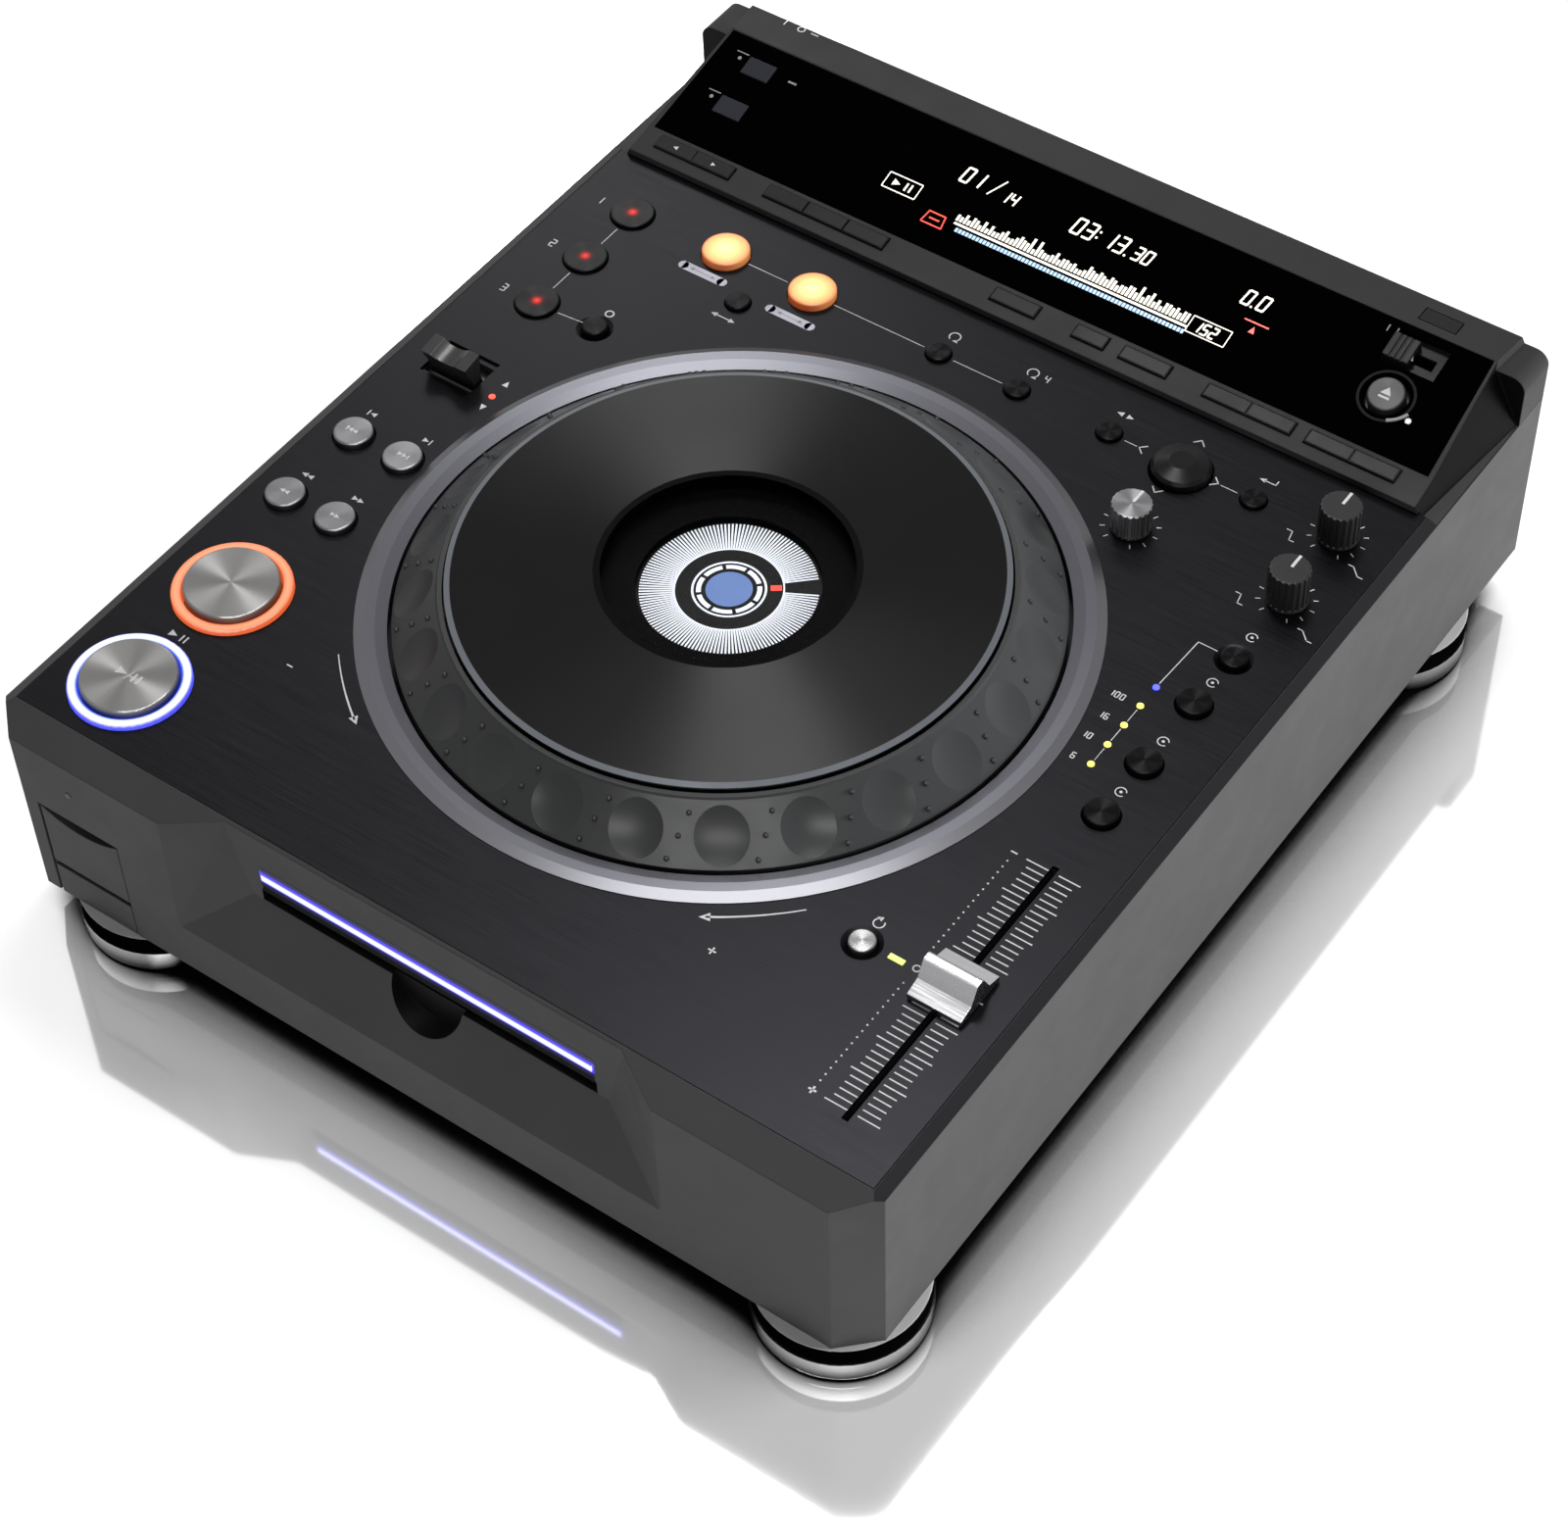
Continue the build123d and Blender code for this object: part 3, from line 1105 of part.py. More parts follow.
def direction_lever():
    shield = rod_x(0, 0, LEVER_SHIELD_R, -LEVER_HALF_W, LEVER_HALF_W)
    shield -= rod_x(0, 0, LEVER_SHIELD_R - LEVER_SHIELD_T, -LEVER_HALF_W - MORE, LEVER_HALF_W + MORE)
    reach = 2 * LEVER_SHIELD_R
    edge = math.radians(90 - LEVER_SHIELD_ANGLE)
    wedge = prism_x([(0, 0), (reach * math.cos(edge), reach * math.sin(edge)), (reach, 2 * reach),
                     (-reach, 2 * reach), (-reach * math.cos(edge), reach * math.sin(edge))],
                    -LEVER_HALF_W - MORE, LEVER_HALF_W + MORE)
    shield &= wedge
    top = DECK_TOP + LEVER_TOP_H - LEVER_PIVOT_Z
    waist = DECK_TOP + LEVER_WAIST_H - LEVER_PIVOT_Z
    paddle_half = LEVER_HALF_W - LEVER_SIDE_INSET
    paddle = prism_x([(-LEVER_ROOT_HALF, LEVER_ROOT_H), (LEVER_ROOT_HALF, LEVER_ROOT_H), (LEVER_WAIST_HALF, waist),
                      (LEVER_TOP_HALF, top), (-LEVER_TOP_HALF, top), (-LEVER_WAIST_HALF, waist)],
                     -paddle_half, paddle_half)
    scoop = rod_y(0, top + LEVER_SCOOP_R - LEVER_SCOOP_DEPTH, LEVER_SCOOP_R, -LEVER_SCOOP_HALF, LEVER_SCOOP_HALF)
    paddle -= scoop
    rib = block(-LEVER_HALF_W, LEVER_HALF_W, -LEVER_RIB_HALF, LEVER_RIB_HALF, 0, LEVER_SHIELD_R - JOIN)
    pin_reach = LEVER_HALF_W + LEVER_EAR_GAP + LEVER_EAR_T
    pin = rod_x(0, 0, LEVER_PIN_R, -pin_reach, pin_reach)
    lever = shield + paddle + rib + pin
    return Pos(LEVER_X, LEVER_Y, LEVER_PIVOT_Z) * Rot(LEVER_SWING / 2, 0, 0) * lever


def cursor_gimbal():
    z0 = CURSOR_PIVOT_Z - GIMBAL_HALF_H
    z1 = CURSOR_PIVOT_Z + GIMBAL_HALF_H
    ring = tube(0, 0, GIMBAL_IN_R, GIMBAL_OUT_R, z0, z1)
    for side in (-1, 1):
        x_in = side * (GIMBAL_IN_R + MORE)
        x_out = side * (CURSOR_HOLE_R + CURSOR_PIN_SEAT)
        ring += rod_x(0, CURSOR_PIVOT_Z, CURSOR_PIN_R, min(x_in, x_out), max(x_in, x_out))
    ring -= rod_y(0, CURSOR_PIVOT_Z, CURSOR_BORE_R, -GIMBAL_OUT_R - MORE, GIMBAL_OUT_R + MORE)
    return Pos(CURSOR_X, CURSOR_Y, 0) * ring


def cursor_stick():
    rim_low = CURSOR_PIVOT_Z + GIMBAL_HALF_H + CURSOR_CLEAR
    top = DECK_TOP + CURSOR_CAP_H
    outline = [(0, rim_low), (CURSOR_CAP_R, rim_low), (CURSOR_CAP_R, DECK_TOP + CURSOR_SIDE_H),
               (CURSOR_CAP_R - CURSOR_EDGE_W, DECK_TOP + CURSOR_EDGE_H), (CURSOR_FLAT_R, top), (0, top)]
    cap = turned(outline)
    cap += disc(0, 0, CURSOR_STEM_R, CURSOR_STEM_LOW, rim_low)
    pin_reach = GIMBAL_OUT_R - CURSOR_PIN_GAP
    cap += rod_y(0, CURSOR_PIVOT_Z, CURSOR_PIN_R, -pin_reach, pin_reach)
    return Pos(CURSOR_X, CURSOR_Y, 0) * cap


# Housing, window and their keys

def housing_profile():
    return [(NOSE_Y, DECK_TOP + NOSE_GAP), (NOSE_Y, DECK_TOP + NOSE_H), (WINDOW_FRONT_Y, DECK_TOP + WINDOW_FRONT_H),
            (WINDOW_BACK_Y, DECK_TOP + WINDOW_BACK_H), (WINDOW_BACK_Y + ROOF_STEP, HOUSING_TOP),
            (BODY_BACK, HOUSING_TOP), (BODY_BACK, DECK_SEAT), (HOUSING_FOOT_Y, DECK_SEAT),
            (HOUSING_FOOT_Y, DECK_TOP + NOSE_GAP)]


def facet_plane(side):
    a = Vector(side * NOSE_SIDE, NOSE_Y, DECK_TOP + NOSE_H)
    b = Vector(side * WINDOW_SIDE_BACK, WINDOW_BACK_Y, DECK_TOP + WINDOW_BACK_H)
    c = Vector(side * FACET_FOOT_X, FACET_FOOT_Y, DECK_TOP)
    normal = (b - a).cross(c - a).normalized()
    if normal.X * side < 0:
        normal = normal * -1
    return Plane(origin=a, z_dir=normal)


def housing_cavity():
    depth = WINDOW_T + HOUSING_WALL
    front = HOUSING_FOOT_Y + HOUSING_WALL
    step = WINDOW_FRONT_Y - CAVITY_STEP
    back = WINDOW_BACK_Y - CAVITY_BACK
    low = DECK_SEAT - MORE
    roof = HOUSING_TOP - HOUSING_WALL
    outline = [(front, low), (front, ledge_z(front, HOUSING_WALL)), (step, ledge_z(step, HOUSING_WALL)),
               (step, window_z(step, depth)), (back, window_z(back, depth)), (back, roof),
               (BODY_BACK - HOUSING_WALL, roof), (BODY_BACK - HOUSING_WALL, low)]
    return prism_x(outline, -HOUSING_INNER_HALF, HOUSING_INNER_HALF)


def window_shape(gap, t0, t1):
    front = WINDOW_SIDE_FRONT - WINDOW_EDGE - gap
    back = WINDOW_SIDE_BACK - WINDOW_EDGE - gap
    v0 = gap
    v1 = (WINDOW_BACK_Y - WINDOW_FRONT_Y) / WINDOW_COS - gap
    face = make_face(Polyline((-front, v0, t0), (front, v0, t0), (back, v1, t0), (-back, v1, t0), close=True))
    return WINDOW_FRAME.location * extrude(face, amount=t1 - t0, dir=(0, 0, 1))


def window_holes(w0, w1):
    depth = (w0 + w1) / 2
    tall = w1 - w0
    holes = []
    for y in WINDOW_KEYS.values():
        hole = Pos(0, 0, depth) * Box(WINDOW_KEY_W + 2 * BUTTON_GAP, WINDOW_KEY_L + 2 * BUTTON_GAP, tall)
        holes.append(on_window(WINDOW_KEY_X, y) * hole)
    holes.append(on_window(EJECT_X, EJECT_Y) * Pos(0, 0, depth) * Cylinder(EJECT_R + EJECT_GAP, tall))
    return holes


def lock_recess(w0, w1):
    return on_window(LOCK_X, LOCK_Y) * Pos(0, 0, (w0 + w1) / 2) * Box(LOCK_RECESS_W, LOCK_RECESS_L, w1 - w0)


def ring_groove(gap, w0, w1):
    solid = Cylinder(EJECT_RING_OUT + gap, w1 - w0) - Cylinder(EJECT_RING_IN - gap, w1 - w0 + MORE)
    return on_window(EJECT_X, EJECT_Y) * Pos(0, 0, (w0 + w1) / 2) * solid


def display_window():
    window = window_shape(PLATE_GAP, -WINDOW_T, 0)
    lamp_depth = EJECT_RING_DEPTH + LAMP_GAP
    window -= window_holes(-WINDOW_T - MORE, MORE)
    window -= lock_recess(-WINDOW_T - MORE, MORE)
    window -= ring_groove(LAMP_GAP, -lamp_depth, MORE)
    window -= on_window(*EJECT_LAMP) * Cylinder(LAMP_R + LAMP_GAP, 2 * lamp_depth)
    return window


def ledge_hole(x, width):
    hole = Box(width + 2 * LEDGE_KEY_GAP, LEDGE_KEY_L + 2 * LEDGE_KEY_GAP, LEDGE_HOLE_L)
    return on_ledge(x, LEDGE_KEY_Y) * Pos(0, 0, LEDGE_HOLE_UP - LEDGE_HOLE_L / 2) * hole


def rocker_ears(x):
    ears = []
    for side in (-1, 1):
        v = side * (LEDGE_KEY_L / 2 + ROCKER_EAR_GAP + ROCKER_EAR_T / 2)
        ear = Pos(0, v, -ROCKER_EAR_DEPTH) * Box(ROCKER_EAR_W, ROCKER_EAR_T, ROCKER_EAR_H)
        ears.append(on_ledge(x, LEDGE_KEY_Y) * ear)
    rod = Rot(90, 0, 0) * Cylinder(ROCKER_PIN_R + ROCKER_PIN_GAP, ROCKER_BORE_L)
    return ears, on_ledge(x, LEDGE_KEY_Y) * Pos(0, 0, -ROCKER_PIVOT_DEPTH) * rod


def lock_stem_slot():
    travel = LOCK_RECESS_W - LOCK_KNOB_W - 2 * LOCK_SIDE_GAP
    slot = Box(LOCK_STEM + travel + 2 * LOCK_SLOT_GAP, LOCK_STEM + 2 * LOCK_SLOT_SIDE, LOCK_SLOT_L)
    return on_window(LOCK_X, LOCK_Y) * Pos(0, 0, -LOCK_SLOT_AT) * slot


def stop_hole():
    return block(STOP_X - STOP_W / 2 - BUTTON_GAP, STOP_X + STOP_W / 2 + BUTTON_GAP,
                 STOP_Y - STOP_L / 2 - BUTTON_GAP, STOP_Y + STOP_L / 2 + BUTTON_GAP,
                 HOUSING_TOP - STOP_HOLE_L, HOUSING_TOP + MORE)


def display_post(x, y):
    top = WINDOW_T + HOUSING_WALL - JOIN
    length = DISPLAY_BOARD_DEPTH - top
    return on_window(x, y) * Pos(0, 0, -top - length / 2) * Cylinder(DISPLAY_POST_R, length)


def aperture_middle():
    return (APERTURE_LEFT + APERTURE_RIGHT) / 2


def aperture_box(inset, height):
    return Box(APERTURE_RIGHT - APERTURE_LEFT - 2 * inset, APERTURE_L - 2 * inset, height)


def rear_block():
    front = BODY_BACK - REAR_BLOCK_L
    top = DECK_TOP + REAR_BLOCK_H
    bar = block(-HALF_W, HALF_W, front, BODY_BACK, DECK_SEAT, top)
    long_edges = bar.edges().filter_by(Axis.Y).group_by(Axis.Z)[-1]
    return fillet(long_edges, REAR_BLOCK_ROUND)


def display_housing():
    shell = prism_x(housing_profile(), -HALF_W, HALF_W)
    for side in (-1, 1):
        shell = split(shell, bisect_by=facet_plane(side), keep=Keep.BOTTOM)
    shell += rear_block()
    shell -= housing_cavity()
    shell -= window_shape(0, -WINDOW_T, 2 * MORE)
    shell -= window_holes(-WINDOW_HOLE_L, MORE)
    shell -= lock_recess(-LOCK_RECESS_DEPTH, MORE)
    shell -= lock_stem_slot()
    shell -= stop_hole()
    shell -= on_window(aperture_middle(), APERTURE_Y) * Pos(0, 0, -APERTURE_T / 2) * aperture_box(0, APERTURE_T)
    shell += [display_post(x, y) for x in DISPLAY_POSTS_X for y in DISPLAY_POSTS_Y]
    first = LEDGE_KEYS["angle_key"][0]
    last = LEDGE_KEYS["audio_key"][0]
    shell -= ledge_hole((first + last) / 2, last - first + TRIPLE_W)
    for name in SINGLE_KEYS:
        shell -= ledge_hole(*LEDGE_KEYS[name])
    for x, width in ROCKERS.values():
        ears, bore = rocker_ears(x)
        shell -= ledge_hole(x, width)
        shell += ears
        shell -= bore
    return shell


def ledge_key(name):
    x, width = LEDGE_KEYS[name]
    foot = HOUSING_WALL + FLANGE_CLEAR + FLANGE_T
    cap = Pos(0, 0, (LEDGE_KEY_LIFT - foot) / 2) * Box(width, LEDGE_KEY_L, LEDGE_KEY_LIFT + foot)
    cap = chamfer(cap.edges().group_by(Axis.Z)[-1], LEDGE_KEY_EDGE)
    cap += Pos(0, 0, -foot + FLANGE_T / 2) * Box(width, LEDGE_KEY_L + 2 * (LEDGE_KEY_GAP + LEDGE_KEY_CATCH), FLANGE_T)
    drop = ledge_z(LEDGE_KEY_Y, 0) - SWITCH_TOP - TRAVEL - SWITCH_CLEAR
    stem_l = drop / LEDGE_COS
    cap += Pos(0, 0, -(stem_l + foot) / 2) * Cylinder(LEDGE_STEM_R, stem_l - foot)
    return on_ledge(x, LEDGE_KEY_Y) * cap


def rocker(name):
    x, width = ROCKERS[name]
    cap = Pos(0, 0, (LEDGE_KEY_LIFT - ROCKER_CAP_T) / 2) * Box(width, LEDGE_KEY_L, LEDGE_KEY_LIFT + ROCKER_CAP_T)
    cap = chamfer(cap.edges().group_by(Axis.Z)[-1], LEDGE_KEY_EDGE)
    cap -= Pos(0, 0, LEDGE_KEY_LIFT) * Box(ROCKER_GROOVE_W, LEDGE_KEY_L + MORE, 2 * ROCKER_GROOVE_DEPTH)
    cap += Pos(0, 0, -ROCKER_EAR_DEPTH) * Box(ROCKER_WEB_W, LEDGE_KEY_L - 2 * ROCKER_WEB_GAP, ROCKER_EAR_H)
    pin_l = LEDGE_KEY_L + 2 * (ROCKER_EAR_GAP + ROCKER_EAR_T) - ROCKER_PIN_SHORT
    cap += Pos(0, 0, -ROCKER_PIVOT_DEPTH) * Rot(90, 0, 0) * Cylinder(ROCKER_PIN_R, pin_l)
    return on_ledge(x, LEDGE_KEY_Y) * cap


def window_key(name):
    foot = WINDOW_T + HOUSING_WALL + FLANGE_CLEAR + FLANGE_T
    stem = DISPLAY_BOARD_DEPTH - SWITCH_H - TRAVEL - SWITCH_CLEAR
    cap = Pos(0, 0, (WINDOW_KEY_LIFT - foot) / 2) * Box(WINDOW_KEY_W, WINDOW_KEY_L, WINDOW_KEY_LIFT + foot)
    flange = Box(WINDOW_KEY_W + 2 * WINDOW_KEY_FLANGE, WINDOW_KEY_L + 2 * WINDOW_KEY_FLANGE, FLANGE_T)
    cap += Pos(0, 0, -foot + FLANGE_T / 2) * flange
    cap += Pos(0, 0, -(stem + foot) / 2) * Cylinder(STEM_R, stem - foot)
    return on_window(WINDOW_KEY_X, WINDOW_KEYS[name]) * cap


def eject_button():
    foot = WINDOW_T + HOUSING_WALL + FLANGE_CLEAR + FLANGE_T
    stem = DISPLAY_BOARD_DEPTH - SWITCH_H - TRAVEL - SWITCH_CLEAR
    cap = Pos(0, 0, (EJECT_LIFT - foot) / 2) * Cylinder(EJECT_R, EJECT_LIFT + foot)
    cap = fillet(cap.edges().sort_by(Axis.Z)[-1], EJECT_ROUND)
    cap += Pos(0, 0, -foot + FLANGE_T / 2) * Cylinder(EJECT_R + EJECT_FLANGE, FLANGE_T)
    cap += Pos(0, 0, -(stem + foot) / 2) * Cylinder(STEM_R, stem - foot)
    return on_window(EJECT_X, EJECT_Y) * cap


def lock_slide():
    rest_x = LOCK_X - (LOCK_RECESS_W - LOCK_KNOB_W) / 2 + LOCK_SIDE_GAP
    low = -LOCK_RECESS_DEPTH + LOCK_FLOOR_GAP
    body = Pos(0, 0, (LOCK_KNOB_LIFT + low) / 2) * Box(LOCK_KNOB_W, LOCK_KNOB_L, LOCK_KNOB_LIFT - low)
    for i in range(LOCK_GROOVES):
        x = (i - (LOCK_GROOVES - 1) / 2) * LOCK_GROOVE_PITCH
        body -= Pos(x, 0, LOCK_KNOB_LIFT) * Box(LOCK_GROOVE_W, LOCK_KNOB_L + MORE, 2 * LOCK_GROOVE_DEPTH)
    body += Pos(0, 0, low - LOCK_STEM_AT) * Box(LOCK_STEM, LOCK_STEM, LOCK_STEM_L)
    return on_window(rest_x, LOCK_Y) * body


def stop_button():
    foot = HOUSING_WALL + FLANGE_CLEAR + FLANGE_T
    cap = block(STOP_X - STOP_W / 2, STOP_X + STOP_W / 2, STOP_Y - STOP_L / 2, STOP_Y + STOP_L / 2,
                HOUSING_TOP - foot, HOUSING_TOP)
    half_w = STOP_W / 2 + STOP_FLANGE_W
    half_l = STOP_L / 2 + STOP_FLANGE_L
    cap += block(STOP_X - half_w, STOP_X + half_w, STOP_Y - half_l, STOP_Y + half_l,
                 HOUSING_TOP - foot, HOUSING_TOP - foot + FLANGE_T)
    return cap + disc(STOP_X, STOP_Y, STEM_R, SWITCH_TOP + TRAVEL + SWITCH_CLEAR, HOUSING_TOP - foot)


# Base, feet, drive, boards and rear

def base_chassis():
    outline = cavity_outline(WALL + PAN_GAP)
    outline = [(x, min(y, BODY_BACK - WALL - PAN_GAP)) for x, y in outline]
    pan = prism_z(outline, FOOT_H, PAN_TOP)
    pan += block(-PANEL_HALF_W, PANEL_HALF_W, BODY_BACK - WALL - PAN_GAP - MORE, PANEL_FACE, FOOT_H, PAN_TOP)
    pan += block(-PANEL_HALF_W, PANEL_HALF_W, PANEL_BACK, PANEL_FACE, FOOT_H, PANEL_TOP)
    for side in (-1, 1):
        pan += [disc(side * BOARD_POST_X, y, BOARD_POST_R, PAN_TOP, BOARD_Z) for y in BOARD_POSTS_Y]
        pan += [disc(side * DRIVE_POST_X, y, DRIVE_POST_R, PAN_TOP, DRIVE_LOW) for y in DRIVE_POSTS_Y]
    for x, y in FEET:
        pan += disc(x, y, FOOT_BOSS_R, PAN_TOP, PAN_TOP + FOOT_BOSS_H)
        pan -= disc(x, y, FOOT_SCREW_R + SCREW_GAP, FOOT_H - MORE, PAN_TOP + FOOT_BOSS_H + MORE)
    hole_r = SCREW_R + SCREW_HOLE_GAP
    pan -= [disc(x, y, hole_r, FOOT_H - MORE, PAN_TOP + MORE) for x, y in PAN_SCREWS]
    return pan - panel_openings()


def panel_openings():
    y0 = PANEL_BACK - MORE
    y1 = PANEL_FACE + MORE
    hole_r = SCREW_R + SCREW_HOLE_GAP
    holes = [rod_y(side * PANEL_SCREW_X, z, hole_r, y0, y1) for side in (-1, 1) for z in PANEL_SCREW_Z]
    holes += [rod_y(x, SOCKET_Z, SOCKET_R + SOCKET_GAP, y0, y1) for x in SOCKETS_X]
    holes += [rod_y(x, SOCKET_Z, JACK_R + SOCKET_GAP, y0, y1) for x in JACKS_X]
    half_w = INLET_W / 2 + SOCKET_GAP
    half_h = INLET_H / 2 + SOCKET_GAP
    holes.append(block(INLET_X - half_w, INLET_X + half_w, y0, y1, INLET_Z - half_h, INLET_Z + half_h))
    half = POWER_HALF + BUTTON_GAP
    holes.append(block(POWER_X - half, POWER_X + half, y0, y1, POWER_Z - half, POWER_Z + half))
    return holes


def foot(x, y):
    lower = disc(x, y, FOOT_R, 0, FOOT_LOWER_H)
    lower = fillet(lower.edges().sort_by(Axis.Z)[0], FOOT_ROUND)
    band = disc(x, y, FOOT_R - FOOT_BAND_INSET, FOOT_LOWER_H, FOOT_H)
    body = lower + band
    body -= disc(x, y, FOOT_RECESS_R, -MORE, FOOT_RECESS_H)
    return body - disc(x, y, FOOT_SCREW_R + SCREW_GAP, FOOT_RECESS_H - MORE, FOOT_H + MORE)


def feet():
    return Compound(children=[foot(x, y).solid() for x, y in FEET])


def screws():
    solids = []
    for x, y in PAN_SCREWS:
        head = disc(x, y, SCREW_HEAD_R, FOOT_H - SCREW_HEAD_T, FOOT_H)
        solids.append(head + disc(x, y, SCREW_R, FOOT_H - JOIN, PAN_TOP + PAN_SCREW_L))
    for x, y in FEET:
        head = disc(x, y, FOOT_SCREW_HEAD_R, FOOT_RECESS_H - FOOT_SCREW_HEAD_T, FOOT_RECESS_H)
        solids.append(head + disc(x, y, FOOT_SCREW_R, FOOT_RECESS_H - JOIN, PAN_TOP + FOOT_BOSS_H))
    for side in (-1, 1):
        for z in PANEL_SCREW_Z:
            x = side * PANEL_SCREW_X
            head = rod_y(x, z, SCREW_HEAD_R, PANEL_FACE, PANEL_FACE + SCREW_HEAD_T)
            solids.append(head + rod_y(x, z, SCREW_R, PANEL_BACK - PANEL_SCREW_L, PANEL_FACE + JOIN))
    return Compound(children=[shape.solid() for shape in solids])


def disc_drive():
    half = DRIVE_HALF_W
    inner = half - DRIVE_WALL
    cover_low = DRIVE_TOP - DRIVE_COVER_T
    space_back = DRIVE_FRONT + DISC_SPACE_L
    frame = block(-half, half, DRIVE_FRONT, DRIVE_BACK, DRIVE_LOW, cover_low)
    frame -= block(-SLOT_HALF_W, SLOT_HALF_W, DRIVE_FRONT - MORE, space_back, RECESS_LOW, SLOT_TOP)
    frame -= block(-inner, inner, DRIVE_FRONT + DRIVE_NOSE, DRIVE_BACK - DRIVE_WALL,
                   DRIVE_LOW + DRIVE_WALL, RECESS_LOW - DRIVE_BED_T)
    roller_y = DRIVE_FRONT + ROLLER_AT
    roller_z = RECESS_LOW - ROLLER_R
    roller_half = SLOT_HALF_W - ROLLER_INSET
    room = ROLLER_R + ROLLER_GAP
    frame -= rod_x(roller_y, roller_z, room, -roller_half, roller_half)
    frame -= block(-roller_half, roller_half, roller_y - room, roller_y + room, roller_z, RECESS_LOW + MORE)
    spindle_low = RECESS_LOW - SPINDLE_DROP - SPINDLE_H
    frame -= disc(0, SPINDLE_Y, SPINDLE_R + SPINDLE_GAP, spindle_low, RECESS_LOW + MORE)
    cover = block(-half, half, DRIVE_FRONT, DRIVE_BACK, cover_low, DRIVE_TOP)
    roller = rod_x(roller_y, roller_z, ROLLER_R, -roller_half, roller_half)
    spindle = disc(0, SPINDLE_Y, SPINDLE_R, spindle_low, RECESS_LOW - SPINDLE_DROP)
    return Compound(children=[frame.solid(), cover, roller, spindle])


def control_board():
    board = block(-BOARD_HALF_W, BOARD_HALF_W, BOARD_FRONT, BOARD_BACK, BOARD_Z, BOARD_TOP)
    well_r = WELL_R + WELL_WALL + BOARD_WELL_GAP
    board -= around_jog(disc(0, 0, well_r, BOARD_Z - MORE, BOARD_TOP + MORE))
    board -= block(-BOARD_NOTCH_HALF, BOARD_NOTCH_HALF, BODY_FRONT, JOG_Y, BOARD_Z - MORE, BOARD_TOP + MORE)
    lug_front = PANEL_BACK - PANEL_LUG_L - BOARD_LUG_GAP
    for side in (-1, 1):
        x0 = side * (PANEL_SCREW_X - PANEL_LUG_HALF - BOARD_LUG_GAP)
        x1 = side * HALF_W
        board -= block(min(x0, x1), max(x0, x1), lug_front, BODY_BACK, BOARD_Z - MORE, BOARD_TOP + MORE)
    return board


def switch(x, y):
    return block(x - SWITCH_HALF, x + SWITCH_HALF, y - SWITCH_HALF, y + SWITCH_HALF, BOARD_TOP, SWITCH_TOP)


def fader_track():
    half = FADER_BODY_HALF_W
    body = block(FADER_X - half, FADER_X + half, FADER_SLOT_FRONT - FADER_END, FADER_SLOT_BACK + FADER_END,
                 BOARD_TOP, FADER_BODY_TOP)
    inner = half - FADER_BODY_WALL
    body -= block(FADER_X - inner, FADER_X + inner, FADER_SLOT_FRONT - FADER_END / 2, FADER_SLOT_BACK + FADER_END / 2,
                  BOARD_TOP + FADER_BODY_WALL, FADER_BODY_TOP - FADER_LID_T)
    half_slot = FADER_SLOT_W / 2
    body -= block(FADER_X - half_slot, FADER_X + half_slot, FADER_SLOT_FRONT, FADER_SLOT_BACK,
                  FADER_BODY_TOP - FADER_LID_T - MORE, FADER_BODY_TOP + MORE)
    return body


def display_board():
    board = Box(2 * DISPLAY_BOARD_HALF_W, DISPLAY_BOARD_L, BOARD_T)
    parts = [on_window(0, DISPLAY_BOARD_Y) * Pos(0, 0, -DISPLAY_BOARD_DEPTH - BOARD_T / 2) * board]
    middle = -DISPLAY_BOARD_DEPTH + SWITCH_H / 2
    places = [(WINDOW_KEY_X, y) for y in WINDOW_KEYS.values()] + [(EJECT_X, EJECT_Y)]
    for x, y in places:
        parts.append(on_window(x, y) * Pos(0, 0, middle) * Box(2 * SWITCH_HALF, 2 * SWITCH_HALF, SWITCH_H))
    glass = Pos(0, 0, -DISPLAY_BOARD_DEPTH + DISPLAY_GLASS_H / 2) * aperture_box(DISPLAY_GLASS_INSET, DISPLAY_GLASS_H)
    parts.append(on_window(aperture_middle(), APERTURE_Y) * glass)
    return parts


def card_reader():
    front = BODY_FRONT + WALL + BAY_DEPTH + READER_GAP
    return block(DOOR_LEFT, DOOR_RIGHT, front, front + READER_L, DOOR_LOW + READER_LIFT, BAY_TOP - READER_DROP)


def power_board():
    left = POWER_BOARD_LEFT
    right = left + POWER_BOARD_W
    front = POWER_BOARD_BACK - POWER_BOARD_L
    low = PAN_TOP + POWER_BOARD_LIFT
    top = low + BOARD_T
    parts = [block(left, right, front, POWER_BOARD_BACK, low, top)]
    for x, y, w, l, h in POWER_PARTS:
        parts.append(block(left + x, left + x + w, front + y, front + y + l, top, top + h))
    for x in (left + POWER_POST_INSET, right - POWER_POST_INSET):
        for y in (front + POWER_POST_INSET, POWER_BOARD_BACK - POWER_POST_INSET):
            parts.append(disc(x, y, POWER_POST_R, PAN_TOP, low))
    return parts


def circuit_boards():
    solids = [control_board()]
    places = [(x, y) for x, y, r, h in ROUND_BUTTONS.values()]
    drop = ledge_z(LEDGE_KEY_Y, 0) - SWITCH_TOP
    key_y = LEDGE_KEY_Y + drop * LEDGE_TAN
    places += [(x, key_y) for x, width in LEDGE_KEYS.values()]
    places.append((STOP_X, STOP_Y))
    solids += [switch(x, y) for x, y in places]
    for x, y, h in KNOBS.values():
        solids.append(block(x - POT_HALF, x + POT_HALF, y - POT_HALF, y + POT_HALF, BOARD_TOP, BOARD_TOP + POT_H))
    solids.append(fader_track())
    solids += display_board()
    solids.append(card_reader())
    solids += power_board()
    return Compound(children=[part.solid() for part in solids])


